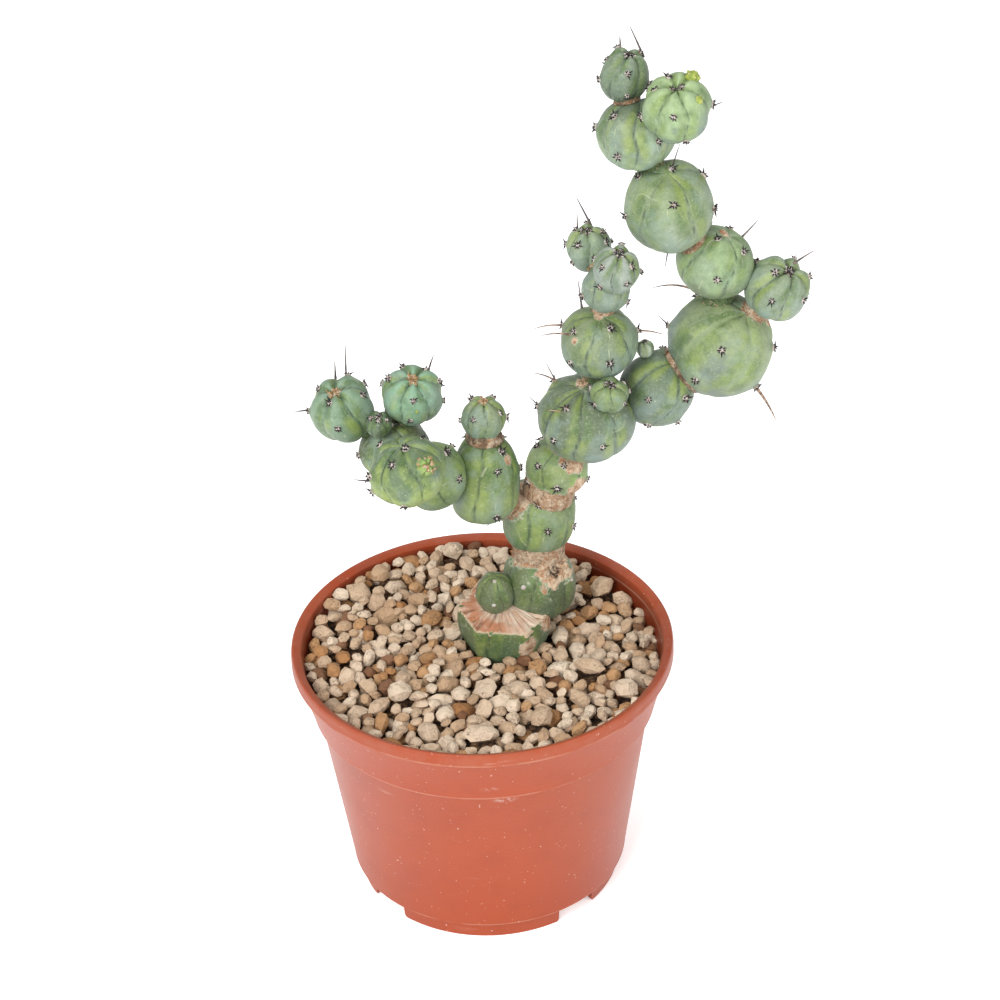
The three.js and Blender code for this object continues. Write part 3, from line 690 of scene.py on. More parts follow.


# on: the segment it grows on. step: lean, heading and reach from that one's centre to its own. size: radius
# across, and half its length. ribs: how many, and where round it the first crest stands. axis: its own lean
# and heading. neck: radius of the neck it grows from, 0 for none. ring, wide: how far a corky ring at the
# joint stands out, and its width. boxy: below 1 its outline is squarer. pear: how much wider its lower half
# is. lump: how far the ribs swell at a pad. groove: how deep the grooves cut. top, low: skin colours at its
# tip and foot, which also carry painted light and shade. vein: colour down in the grooves, dark where
# it is painted shade in the creases. warm: its yellowish blotches. bloom: how much waxy bloom.
# tip: colour of the felt on a growing tip, with tufts: how many, and crown: how widely they stand. bare: no
# pads on its ribs. worn: its pads have lost their spines. bark: degrees that cork spreads from the joint, on
# the older segment and on itself. cork: corky patches, as lean, heading, spread in degrees and whether
# sunk. pads: degrees from its tip and round its axis.
growth = {
    "stump": {
        "centre": (10, 15, 122), "size": (22, 24), "ribs": (6, 30), "axis": (0, 0), "neck": 0,
        "groove": 0.05, "top": "66773f", "low": "526d45", "bloom": 0.2, "bare": True,
        "cork": [(100, 30, 13, False), (84, 66, 12, False)]},
    "trunk_lower": {
        "on": "stump", "step": (57, 117.9, 22.4), "size": (16.6, 16.2), "ribs": (6, 49), "axis": (8, 160),
        "neck": 5, "boxy": 0.8, "groove": 0.1, "top": "6c7947", "low": "485831", "warm": "7b9347",
        "bloom": 0.25, "worn": True, "cork": [(42, 38, 30, True)], "pads": [(77, 243), (75, 330)]},
    "stump_side_shoot": {
        "on": "stump", "step": (14, -74, 14.5), "size": (8.6, 10.7), "ribs": (5, 41), "axis": (6, -40),
        "neck": 4, "groove": 0.08, "top": "667143", "low": "768a5e", "bloom": 0.25, "worn": True,
        "pads": [(25, 280), (88, 265)]},
    "trunk_middle": {
        "on": "trunk_lower", "step": (13, 174.4, 31.7), "size": (16.5, 16), "ribs": (5, 64),
        "axis": (6, 60), "neck": 11.8, "boxy": 0.76, "groove": 0.05, "top": "849761", "low": "64864f",
        "bloom": 0.5, "bark": (46, 26), "pads": [(37, 264), (81, 281), (58, 4), (89, 334)]},
    "trunk_upper": {
        "on": "trunk_middle", "step": (18.3, 64.3, 29.4), "size": (13.9, 11), "ribs": (5, 58),
        "axis": (14, 90), "neck": 11.5, "ring": 0.3, "boxy": 0.85, "groove": 0.05, "top": "8f9e58",
        "low": "81a652", "warm": "a3bf52", "bloom": 0.4, "bark": (24, 60),
        "cork": [(50, 43, 26, False), (116, 42, 22, False)],
        "pads": [(70, 224), (97, 270), (50, 274), (94, 346), (45, 180), (127, 202)]},
    "trunk_crown": {
        "on": "trunk_upper", "step": (29, 90, 28.5), "size": (21.6, 18.8), "ribs": (7, 23),
        "axis": (14, -14), "neck": 9, "groove": 0.06, "top": "667558", "low": "92a59d", "bark": (34, 12),
        "cork": [(9, -50, 8, False)], "pads": [(36, 228), (80, 226), (83, 284), (78, 166), (57, 135)]},
    "crown_offset": {
        "on": "trunk_crown", "step": (41, 32, 25), "size": (8.3, 7.4), "ribs": (5, 14), "axis": (21, 15),
        "neck": 3, "groove": 0.13, "top": "819765", "low": "6d8368", "warm": "94a954", "tip": "pale",
        "pads": [(81, 317), (93, 220), (54, 27)]},
    "middle_arm_lower": {
        "on": "trunk_crown", "step": (9, 110, 36.5), "size": (16.8, 15.8), "ribs": (5, 1), "axis": (14, 5),
        "neck": 7, "groove": 0.06, "top": "849369", "low": "788b7f",
        "cork": [(66, -45, 7, False), (15, 2, 8, False)],
        "pads": [(47, 207), (29, 298), (93, 223), (80, 282), (74, 160), (76, 8)]},
    "middle_arm_upper": {
        "on": "middle_arm_lower", "step": (7, 90, 25.5), "size": (10.4, 10.5), "ribs": (5, 48),
        "axis": (7, 90), "neck": 5, "groove": 0.07, "top": "7f9382", "low": "8d9e8c", "bark": (9, 8),
        "pads": [(105, 198), (107, 333)]},
    "middle_tip_back": {
        "on": "middle_arm_upper", "step": (51, -156, 19.5), "size": (9.7, 10.7), "ribs": (5, 17),
        "axis": (11, -30), "neck": 4, "groove": 0.15, "top": "9aab88", "low": "8b9b8b", "tip": "pale",
        "pads": [(52, 236), (101, 219), (62, 331), (28, 170), (43, 356)]},
    "middle_tip_front": {
        "on": "middle_arm_upper", "step": (41, 15, 20), "size": (9.9, 10.9), "ribs": (5, 7),
        "axis": (17, 32), "neck": 4, "groove": 0.17, "top": "a6b0a5", "low": "61746a", "warm": "98ad5c",
        "bloom": 0.4, "tip": "pale", "pads": [(60, 219), (109, 229), (48, 315), (83, 291)]},
    "right_arm_1": {
        "on": "trunk_crown", "step": (73, 101, 32.5), "size": (16.4, 17), "ribs": (5, 32), "axis": (32, 72),
        "neck": 7, "groove": 0.06, "top": "6c7f63", "low": "82928c",
        "pads": [(79, 246), (124, 274), (58, 305), (106, 324)]},
    "right_arm_bud": {
        "on": "right_arm_1", "step": (15, -100, 20), "size": (4, 4.2), "ribs": (5, 10), "axis": (12, -60),
        "neck": 0, "groove": 0.14, "top": "b5c4ae", "low": "cddac6", "vein": "8ba07a", "warm": "b5c38e",
        "bloom": 0.3, "tip": "pale", "tufts": 4, "bare": True},
    "right_arm_2": {
        "on": "right_arm_1", "step": (56, 96, 33.5), "size": (23, 22.8), "ribs": (5, 32), "axis": (33, 58),
        "neck": 9, "ring": 0.3, "wide": 1.2, "groove": 0.06, "top": "9fb07d", "low": "6f7e77",
        "vein": "8fa676", "warm": "9db458", "bloom": 0.65, "cork": [(60, 90, 9, False)],
        "pads": [(56, 247), (102, 245), (53, 343), (105, 165), (97, 324), (70, 137)]},
    "right_arm_3": {
        "on": "right_arm_2", "step": (4.9, -123, 39.1), "size": (17.2, 14.8), "ribs": (5, 38),
        "axis": (21, 68), "neck": 7, "groove": 0.07, "top": "a2bb88", "low": "7c875c", "warm": "9db556",
        "bloom": 0.45, "cork": [(16, 79, 7, False)], "pads": [(80, 264), (21, 223), (34, 317), (34, 75)]},
    "right_side_tip": {
        "on": "right_arm_2", "step": (39, 78, 37), "size": (14.1, 13.9), "ribs": (6, 11), "axis": (30, 52),
        "neck": 6, "groove": 0.14, "top": "91a383", "low": "95a69a", "tip": "pale", "bark": (15, 9),
        "pads": [(34, 207), (73, 248), (16, 282), (40, 5), (62, 312), (76, 143)]},
    "right_arm_4": {
        "on": "right_arm_3", "step": (35.3, -78.6, 35.7), "size": (18.7, 19.2), "ribs": (5, 52),
        "axis": (18, -14), "neck": 4.6, "ring": 0.2, "wide": 1.0, "boxy": 0.89, "groove": 0.05,
        "top": "95a87b", "low": "b1bea0", "bark": (10, 7),
        "pads": [(47, 275), (35, 173), (6, 32), (86, 340), (85, 198), (53, 11)]},
    "right_arm_5": {
        "on": "right_arm_4", "step": (24.2, -106.3, 34.2), "size": (16, 14.8), "ribs": (6, -4),
        "axis": (9, 127), "neck": 6, "boxy": 0.93, "groove": 0.1, "top": "798a6d", "low": "afc59c",
        "pads": [(54, 218), (110, 240), (82, 299), (88, 173), (41, 270)]},
    "right_tip_back": {
        "on": "right_arm_5", "step": (15.6, -140.4, 24.5), "size": (10.2, 11.7), "ribs": (5, 56),
        "axis": (15, 62), "neck": 5, "ring": 0.15, "wide": 0.9, "groove": 0.16, "top": "809178",
        "low": "425836", "warm": "8aa04c", "bloom": 0.25, "tip": "pale",
        "pads": [(61, 266), (108, 278), (69, 159), (33, 38), (102, 192)]},
    "right_tip_front": {
        "on": "right_arm_5", "step": (50.7, 53, 25.1), "size": (14.2, 15), "ribs": (6, 12),
        "axis": (26, -6), "neck": 5, "groove": 0.14, "top": "a9c38c", "low": "73877a", "warm": "9db860",
        "bloom": 0.45, "tip": "pale", "tufts": 4,
        "pads": [(56, 259), (41, 173), (25, 121), (86, 358), (117, 283), (100, 187)]},
    "left_arm_1": {
        "on": "trunk_middle", "step": (43.5, -70.6, 35.9), "size": (14.9, 19.4), "ribs": (5, 4),
        "axis": (8, 150), "neck": 5.5, "boxy": 0.68, "pear": 0.09, "groove": 0.06, "top": "6a8438",
        "low": "8da05b", "bark": (34, 18), "cork": [(54, 59, 10, False)],
        "pads": [(39, 309), (70, 290), (118, 291), (30, 36)]},
    "left_arm_top_bead": {
        "on": "left_arm_1", "step": (7.2, 172.2, 28.7), "size": (9.7, 10.4), "ribs": (6, 1),
        "axis": (3, 126), "neck": 7.2, "ring": 0.6, "wide": 1.4, "groove": 0.16, "top": "869470",
        "low": "6e885f", "tip": "orange", "pads": [(42, 142), (69, 240), (60, 330)]},
    "left_arm_2": {
        "on": "left_arm_1", "step": (69.4, -64.2, 26.7), "size": (14.9, 15.4), "ribs": (5, 36),
        "axis": (25, -60), "neck": 6, "groove": 0.06, "top": "94ad67", "low": "7a9358",
        "pads": [(86, 324), (50, 3), (71, 34)]},
    "left_front_bead": {
        "on": "left_arm_2", "step": (55.7, -28.7, 25.2), "size": (16.7, 14.4), "ribs": (6, 16),
        "axis": (12, -75), "neck": 6, "groove": 0.12, "top": "60784c", "low": "b0c464", "warm": "bccf66",
        "bloom": 0.5, "pads": [(40, 251), (44, 139), (69, 201), (117, 257), (15, 306), (53, 44)]},
    "left_arm_3": {
        "on": "left_arm_2", "step": (86, -143, 27.5), "size": (15.8, 14.2), "ribs": (5, 61),
        "axis": (16, -40), "neck": 6, "groove": 0.09, "top": "546035", "low": "5b6c4d",
        "pads": [(74, 200)]},
    "left_high_tip": {
        "on": "left_arm_3", "step": (19.1, 83.7, 27.9), "size": (13.7, 13), "ribs": (6, 31),
        "axis": (19, 16), "neck": 5, "groove": 0.15, "top": "8cb694", "low": "7d8d6d", "tip": "orange",
        "pads": [(50, 271), (51, 169), (59, 14), (93, 352), (93, 267), (53, 115), (53, 57)]},
    "left_small_bead": {
        "on": "left_arm_3", "step": (32, -32, 20.5), "size": (5.8, 6.3), "ribs": (5, 56), "axis": (18, 21),
        "neck": 0, "groove": 0.16, "top": "596d50", "low": "49592e", "warm": "7f9644", "bloom": 0.2,
        "tip": "pale", "tufts": 7, "pads": [(32, 265), (87, 360), (40, 200), (40, 330)]},
    "left_end_tip": {
        "on": "left_arm_3", "step": (45.2, -84.9, 30), "size": (14.2, 15.8), "ribs": (5, 55),
        "axis": (24, -31), "neck": 5, "groove": 0.15, "top": "86a486", "low": "6d8d64", "tip": "orange",
        "pads": [(29, 253), (73, 264), (54, 349), (41, 148), (75, 182), (54, 62), (72, 34)]},
    "new_shoot": {
        "on": "left_front_bead", "step": (57, 35, 16.2), "size": (4.2, 4.6), "ribs": (5, 20),
        "axis": (50, 30), "neck": 0, "lump": 0.2, "groove": 0.2, "top": "93b352", "low": "7fa04c",
        "vein": "5f8038", "warm": "b3c266", "tip": "orange", "crown": 4.0, "bare": True},
}


def growPlaces():  # walks from the stump outwards and gives every segment its centre and turn
    for name, segment in growth.items():
        if "on" in segment:
            lean, heading, reach = segment["step"]
            segment["at"] = growth[segment["on"]]["at"] + direction(lean, heading) * reach
        else:
            segment["at"] = Vector(segment["centre"])
        segment["turn"] = turnTo(direction(*segment["axis"]))
        middle = sum(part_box(name), Vector()) / 2 - potCentre
        if (middle / mm - segment["at"]).length > 0.6 * segment["size"][0]:
            print("the frame holds", name, "somewhere else")


def toScene(segment, local):  # millimetres round the segment's own axis to metres in the frame
    return inFrame(np.asarray(local) @ segment["turn"].T + np.array(segment["at"]))


# the skin's mesh, the dimple at a segment's top, and the plain rows of pads in degrees
skin = {
    "rings": 44, "columns": 12, "fineAbove": 9, "dip": 0.06, "tipDip": 0.24, "tipFold": 0.9, "lump": 0.042,
    "padStep": 50, "padStart": 36, "padEnd": 128, "padShift": 14, "padSlack": 5, "browAbove": 0.19,
}


def unitWays(theta, phi):
    return np.stack([np.sin(theta) * np.cos(phi), np.sin(theta) * np.sin(phi), np.cos(theta)], -1)


def padPlaces(name, segment):  # the pads named in growth, and plain rows of pads where none is named
    if segment.get("bare"):
        return []
    rng = random.Random("pads " + name)
    ribs, first = segment["ribs"]
    named = [(math.radians(theta), math.radians(phi)) for theta, phi in segment.get("pads", ())]
    places = list(named)
    front = np.array([0.0, -0.84, 0.54])  # the named pads cover this side
    slack = skin["padSlack"]
    for rib in range(ribs):
        theta = skin["padStart"] + (skin["padShift"] if rib % 2 else 0) + rng.uniform(-slack, slack)
        while theta < skin["padEnd"]:
            place = (math.radians(theta), math.radians(first + 360 / ribs * rib + rng.uniform(-2, 2)))
            if not named or segment["turn"] @ unitWays(*place) @ front < 0.12:
                if all(unitWays(*place) @ unitWays(*old) < 0.85 for old in named):
                    places.append(place)
            theta += skin["padStep"] + rng.uniform(-slack, slack)
    return places


def shapeBead(name, segment, theta, phi):  # the skin's points, and how near each is to a rib's crest
    radius, half = segment["size"]
    ribs, first = segment["ribs"]
    seed = sum(map(ord, name)) % 97
    sway = (0.10 * np.sin(theta * 1.7 + seed) + 0.05 * np.sin(theta * 4.1 + phi * 2 + seed)) * np.sin(theta)
    turn = (phi + sway - math.radians(first)) * ribs / (2 * math.pi)
    away = 2 * np.abs(turn - np.round(turn))
    tip = segment.get("tip")
    fade = (1 - 0.65 * smoothStep(1.4, 2.7, theta)) * smoothStep(0.0, 0.14 if tip else 0.22, theta)
    if tip:
        fade = fade * (1 + skin["tipFold"] * np.exp(-(theta / 0.8) ** 2))
    drop = segment["groove"] * (0.66 * away ** 1.7 + 0.34 * np.exp(-((1 - away) / 0.08) ** 2)) * fade
    swell = 1 - drop
    ways = unitWays(theta, phi)
    lump, rise = segment.get("lump", skin["lump"]), skin["browAbove"]
    for padTheta, padPhi in segment["places"]:  # the rib swells at each pad, and is creased just above it
        pad = unitWays(padTheta, padPhi)
        upper = unitWays(padTheta - rise, padPhi)
        swell = swell + lump * np.exp(-((ways - pad) ** 2).sum(-1) / 0.035)
        side = (ways - upper) @ np.cross(pad, upper) / rise
        over = (ways - upper) @ (upper - pad) / rise
        near = np.exp(-(side / 0.16) ** 2 - (over / 0.05) ** 2) * (ways @ upper > 0)
        swell = swell - lump * 0.55 * near
    swell = swell * (1 + 0.03 * noiseAt(ways, 1.6, seed) + 0.011 * noiseAt(ways, 4.0, seed + 3))
    boxy, pear = segment.get("boxy", 1.0), segment.get("pear", 0.0)
    across = np.clip(np.sin(theta), 0, 1) ** boxy
    upward = np.sign(np.cos(theta)) * np.abs(np.cos(theta)) ** boxy
    if name == "stump":
        across = across * stumpEdge(phi) / radius
    across = radius * across * (1 - pear * upward)
    dip = skin["tipDip"] if tip else skin["dip"]
    z = half * upward * swell * (1 - dip * np.exp(-(theta / 0.3) ** 2))
    return np.stack([across * np.cos(phi) * swell, across * np.sin(phi) * swell, z], -1), 1 - away


def corkMasks(name, segment, theta, phi):  # one inside a corky patch, fading to nothing; and the pits in it
    ways = unitWays(theta, phi) @ segment["turn"].T
    cork, pit = np.zeros(len(theta)), np.zeros(len(theta))
    patches = [(direction(lean, heading), spread, sunk)
               for lean, heading, spread, sunk in segment.get("cork", ())]
    for other, child in growth.items():  # cork also spreads from the joints
        if child.get("on") == name and child.get("bark"):
            way = (child["at"] - segment["at"]).normalized()
            patches.append((way, child["bark"][0], False))
        if other == name and segment.get("bark"):
            way = (growth[segment["on"]]["at"] - segment["at"]).normalized()
            patches.append((way, segment["bark"][1], False))
    for way, spread, sunk in patches:
        apart = np.degrees(np.arccos(np.clip(ways @ np.array(way), -1, 1)))
        if sunk:
            apart = apart * (1 + 0.5 * noiseAt(ways, 4.0, 21) + 0.4 * noiseAt(ways, 11.0, 22))
        cork = np.maximum(cork, 1 - smoothStep(spread * 0.75, spread * 1.3, apart))
        if sunk:
            pit = np.maximum(pit, np.exp(-(apart / (spread * 0.4)) ** 2))
            cork = cork + 0.5 * np.exp(-((apart - spread * 0.62) / (spread * 0.18)) ** 2)
    return cork, pit


def makeBeadMesh(name, segment):
    piece, unit, theta, phi = ballPiece(segment["ribs"][0] * skin["columns"], skin["rings"])
    local, crest = shapeBead(name, segment, theta, phi)
    cork, pit = corkMasks(name, segment, theta, phi)
    rough = 0.5 * noiseAt(unit, 7.0, 5) + 0.35 * noiseAt(unit, 15.0, 9)
    height = np.clip(cork, 0, 1.5) * (0.25 + rough) - 3.4 * pit * (1 + rough)
    setPoints(piece, local + unit * height[:, None])
    setMask(piece, "crest", np.where(np.sin(theta) < 0.05, 0.5, crest))
    setMask(piece, "along", theta / math.pi)
    setMask(piece, "cork", cork)
    setMask(piece, "pit", pit)
    return piece


def makeSkinLook(name, segment):
    look, tree, shader = newMaterial("skin_" + name, 0.5)
    shift = (sum(map(ord, name)) % 53) * 0.37
    along, crest, cork, pit = (attribute(tree, key) for key in ("along", "crest", "cork", "pit"))
    broad = blotches(tree, 60, shift, 0.3, 0.7)
    level = maths(tree, "ADD", along, times(tree, maths(tree, "SUBTRACT", broad, 0.5), 0.5))
    # the skin runs from the top colour to the low colour down the segment, partly its own colour and partly
    # painted light and shade
    colour = mixColour(tree, ramp(tree, level, 0.36, 0.78), srgb(segment["top"]), srgb(segment["low"]))
    panel = times(tree, ramp(tree, crest, 0.8, 0.4), ramp(tree, crest, 0.03, 0.2))
    # painted shade, partly: dark green patches on the panels, only on the upper part of the segment
    deep = times(tree, panel, blotches(tree, 55, shift + 17, 0.38, 0.56))
    deep = times(tree, deep, ramp(tree, along, 0.8, 0.4))
    colour = tint(tree, colour, "4f702f", deep, 0.75)
    yellow = times(tree, panel, blotches(tree, 75, shift + 4, 0.42, 0.62))
    colour = tint(tree, colour, segment.get("warm", "a8bb5a"), yellow, 0.55)
    ridge = times(tree, ramp(tree, crest, 0.35, 0.9), ramp(tree, along, 0.25, 0.6))
    bloom = times(tree, ridge, blotches(tree, 80, shift + 9, 0.35, 0.6))
    veil = times(tree, blotches(tree, 70, shift + 13, 0.5, 0.62), 0.7)
    # the lower part takes a darker blue-grey waxy tone: partly real bloom, partly painted shade and light
    # thrown up from the floor
    under = times(tree, ramp(tree, along, 0.5, 0.8), blotches(tree, 110, shift + 15, 0.35, 0.6))
    bloom = maths(tree, "MAXIMUM", maths(tree, "MAXIMUM", bloom, veil), under)
    bloom = times(tree, bloom, segment.get("bloom", 0.75))
    waxy = mixColour(tree, under, srgb("95aca4"), srgb("78918a"))
    colour = mixColour(tree, times(tree, bloom, 0.85), colour, waxy)
    mottle = times(tree, blotches(tree, 330, shift + 2, 0.42, 0.75, 5.0), 0.38)
    colour = tint(tree, colour, "4f6a3a", mottle)
    fine = times(tree, blotches(tree, 850, shift + 19, 0.45, 0.7), 0.22)
    colour = tint(tree, colour, "b9c596", fine)
    pale = times(tree, blotches(tree, 1000, shift + 6, 0.64, 0.74, 1.0), 0.4)
    colour = tint(tree, colour, "c9d4b0", pale)
    edge = maths(tree, "ADD", crest, times(tree, blotches(tree, 500, shift, 0.2, 0.8), 0.06))
    # painted shade in the creases: a dark line down each groove, fading towards the foot
    valley = times(tree, ramp(tree, edge, 0.02, 0.16, 1.0, 0.0), ramp(tree, along, 0.85, 0.6))
    colour = tint(tree, colour, segment.get("vein", "334a2b"), valley, 0.85)
    scar = times(tree, ramp(tree, crest, 0.94, 0.98), blotches(tree, 42, shift + 7, 0.52, 0.58))
    scratch = times(tree, hairlines(tree, 24, shift + 1, 0.007), blotches(tree, 60, shift + 7, 0.56, 0.62))
    scratch = maths(tree, "MAXIMUM", times(tree, scratch, 0.8), scar)
    colour = tint(tree, colour, "d6d8b8", scratch, 0.5)
    torn = maths(tree, "SUBTRACT", blotches(tree, 230, shift, 0.25, 0.75), 0.5)
    ragged = maths(tree, "ADD", cork, times(tree, torn, 0.8))
    margin = times(tree, ramp(tree, ragged, 0.22, 0.42), ramp(tree, cork, 0.02, 0.1))
    colour = tint(tree, colour, "c3c8ab", margin, 0.75)
    corky = times(tree, ramp(tree, ragged, 0.46, 0.56), ramp(tree, cork, 0.02, 0.1))
    # the pit of a sunken cork patch is painted dark brown: painted shade in the hole, over dark cork
    hole = times(tree, ramp(tree, pit, 0.25, 0.6), blotches(tree, 420, shift + 8, 0.36, 0.56, 5.0))
    bark = tint(tree, corkColour(tree, shift, 0.75), "3d2c23", hole)
    colour = mixColour(tree, corky, colour, bark)
    # painted sheen: a pale blue-grey tint where the skin turns away from the view
    rim = addNode(tree, "LayerWeight", {"Blend": 0.3}).outputs["Facing"]
    edgeSheen = times(tree, rim, 0.22, maths(tree, "SUBTRACT", 1.0, corky))
    colour = tint(tree, colour, "a0b2a8", edgeSheen)
    rough = maths(tree, "ADD", 0.46, times(tree, corky, 0.44))
    rough = maths(tree, "ADD", rough, times(tree, bloom, 0.2))
    grain = times(tree, blotches(tree, 1300, shift, 0.2, 0.8), 0.12)
    fold = times(tree, blotches(tree, 260, shift + 3, 0.2, 0.8), 0.16)
    crust = times(tree, corky, blotches(tree, 480, shift + 3, 0.2, 0.8))
    setLook(tree, shader, colour, maths(tree, "ADD", maths(tree, "ADD", grain, fold), crust), 0.0009, 0.9,
            rough)
    return look


def makeSegments():
    for name, segment in growth.items():
        segment["places"] = padPlaces(name, segment)
        piece = makeBeadMesh(name, segment)
        if segment["size"][0] > skin["fineAbove"]:
            applyModifier(piece, "SUBSURF", levels=1, render_levels=1)
        setPoints(piece, toScene(segment, getPoints(piece)))
        bakePlace(piece)
        if name == "stump":
            cutStump(piece)
        slot = {"stump": "cork", "new_shoot": "young_skin"}.get(name, "cactus_skin")
        givePiece(piece, "skin_" + name, slot, [makeSkinLook(name, segment)], None, name)
    print("segments:", len(growth))


# the stump's dried top; corners: heading and reach of the corners of the cut
stumpTop = {
    "cut": 127.5, "tilt": 4, "rise": 3.4, "shrink": 0.955, "under": -1.5, "rings": 22, "spokes": 216,
    "corners": [(-154, 23.5), (-92, 21.6), (-36, 22.2), (26, 23.6), (75, 21.8), (130, 21.5), (206, 23.5)],
}


def stumpEdge(phi):  # how far the stump reaches at an angle: a blunt polygon
    corners = stumpTop["corners"]
    start = corners[0][0]
    heading = (np.degrees(phi) + 90 - start) % 360 + start
    reach = np.zeros(np.shape(phi))
    for (headA, farA), (headB, farB) in zip(corners, corners[1:]):
        width = math.radians(headB - headA)
        share = np.radians(heading - headA)
        chord = farA * farB * math.sin(width) / (farA * np.sin(share) + farB * np.sin(width - share) + 1e-9)
        reach = np.where((heading >= headA) & (heading <= headB), chord, reach)
    return reach


def cutHeight(y):
    return stumpTop["cut"] + (y - growth["stump"]["centre"][1]) * math.tan(math.radians(stumpTop["tilt"]))


def cutStump(piece):
    tilt = math.radians(stumpTop["tilt"])
    normal = Vector((0, -math.sin(tilt), math.cos(tilt)))
    centre = growth["stump"]["at"]
    place = Vector((centre.x, centre.y, stumpTop["cut"])) * mm + potCentre
    editAll(piece, (bpy.ops.mesh.bisect, {
        "plane_co": place, "plane_no": normal, "use_fill": True, "clear_outer": True}))


def makeStumpTop():  # dried fibres that run from the middle to a ragged edge
    centre = growth["stump"]["at"]
    rings, spokes = stumpTop["rings"], stumpTop["spokes"]
    points, outward = [], []
    for under in (False, True):
        for ring in range(rings + 1):
            share = ring / rings
            for angle in np.arange(spokes) / spokes * 2 * np.pi:
                way = Vector((math.cos(angle), math.sin(angle), 0))
                edge = float(stumpEdge(angle)) * stumpTop["shrink"]
                edge = edge + 0.5 * noise.noise(way * 5) + 0.35 * noise.noise(way * 16)
                reach = edge * max(share, 0.03)
                x, y = centre.x + reach * math.cos(angle), centre.y + reach * math.sin(angle)
                fibre = 0.7 * noise.noise(Vector((angle * 11, share * 1.3, 2)))
                fibre += 0.45 * noise.noise(Vector((angle * 34, share * 2, 7)))
                crack = max(0.0, noise.noise(Vector((angle * 6, share * 2.6, 12))) - 0.22) * -3.0
                lip = 0.7 * smoothStep(0.93, 1.0, share) - 0.5 * smoothStep(0.99, 1.0, share)
                rise = stumpTop["rise"] * (1 - share) ** 0.9 + (fibre + crack) * min(1, share * 2) + lip
                points.append((x, y, cutHeight(y) + (stumpTop["under"] if under else 0.2 + rise)))
                outward.append(share)
    piece = meshPiece(inFrame(points), discFaces(rings + 1, spokes))
    turns = np.array(points)[:, :2] - np.array(centre)[:2]
    setMask(piece, "fibreX", turns[:, 0] / np.maximum(np.hypot(*turns.T), 0.3))
    setMask(piece, "fibreY", turns[:, 1] / np.maximum(np.hypot(*turns.T), 0.3))
    setMask(piece, "outward", outward)
    recalculateNormals(piece)
    givePiece(piece, "stump_dry_top", "cork", [makeFibreLook()], 60)


def makeFibreLook():
    look, tree, shader = newMaterial("driedFibres", 0.85)
    outward = attribute(tree, "outward")
    fine = addNode(tree, "CombineXYZ",
                   {"X": times(tree, attribute(tree, "fibreX"), 11.0),
                    "Y": times(tree, attribute(tree, "fibreY"), 11.0), "Z": outward})
    strand = addNode(tree, "TexNoise", {"Vector": fine.outputs[0], "Scale": 1.6, "Detail": 5.0})
    cracked = addNode(tree, "TexNoise", {"Vector": fine.outputs[0], "Scale": 0.8, "Detail": 2.0})
    colour = mixColour(tree, ramp(tree, strand.outputs["Fac"], 0.3, 0.7), srgb("e2b898"), srgb("f8e4cf"))
    colour = tint(tree, colour, "f5e4d0", blotches(tree, 260, 4.0, 0.45, 0.65), 0.6)
    left = ramp(tree, attribute(tree, "fibreX"), 0.6, -0.3)
    rust = times(tree, ramp(tree, outward, 0.4, 0.75), blotches(tree, 100, 1.0, 0.34, 0.52))
    rust = times(tree, rust, left, 0.95)
    colour = tint(tree, colour, "d08a60", rust)
    pink = times(tree, blotches(tree, 170, 9.0, 0.5, 0.65), 0.4)
    colour = tint(tree, colour, "cf9a80", pink)
    crack = ramp(tree, cracked.outputs["Fac"], 0.64, 0.68)
    colour = tint(tree, colour, "8a5d46", crack, 0.6)
    rim = ramp(tree, outward, 0.94, 0.985)
    colour = tint(tree, colour, "e9d3b2", rim, 0.8)
    setLook(tree, shader, colour, maths(tree, "SUBTRACT", strand.outputs["Fac"], crack), 0.0009, 0.8)
    return look


# the necks' mesh, and how they stand out, sink in and run on into both segments
collar = {"sides": 96, "rows": 18, "wide": 1.2, "out": -0.5, "sink": 1.0, "overlap": 0.8}


def makeCorkLook(name, share, cracks, under="6b5540"):
    look, tree, shader = newMaterial(name, 0.9)
    share = maths(tree, "MULTIPLY", blotches(tree, 210, 12.0, 0.4, 0.6), share * 1.6, True)
    colour = tint(tree, corkColour(tree, 1.0, cracks), under, share)
    flake = blotches(tree, 520, 9.0, 0.6, 0.68, 6.0)
    setLook(tree, shader, colour, maths(tree, "SUBTRACT", blotches(tree, 420, 6.0, 0.25, 0.75, 6.0), flake),
            0.0014)
    return look


def depthIn(segment, points):  # below one inside the segment's skin, above one outside it
    local = (np.asarray(points) - np.array(segment["at"])) @ segment["turn"]
    radius, half = segment["size"]
    power = 2 / segment.get("boxy", 1.0)
    level = local[..., 2] / half
    full = radius * (1 - segment.get("pear", 0.0) * np.clip(level, -1, 1))
    wide = np.hypot(local[..., 0], local[..., 1]) / full
    return (wide ** power + np.abs(level) ** power) ** (1 / power)


def reachAlong(segment, way):  # how far the segment reaches from its centre in a direction
    radius, half = segment["size"]
    return 1 / np.linalg.norm(segment["turn"].T @ np.array(way) / np.array([radius, radius, half]))


def skinReach(segment, base, ways, limit=40):  # how far out from a point inside a segment its skin lies
    near, far = np.zeros(len(ways)), np.full(len(ways), float(limit))
    for _ in range(24):
        middle = (near + far) / 2
        within = depthIn(segment, base + ways * middle[:, None]) < 1
        near, far = np.where(within, middle, near), np.where(within, far, middle)
    return near


def levelWhere(segment, start, way, side, width):  # how far along a joint the segment is still that wide
    steps = np.linspace(0, reachAlong(segment, way), 60)
    wide = [step for step in steps if skinReach(segment, start + way * step, side[None, :])[0] > width]
    return wide[-1] if wide else 0.0


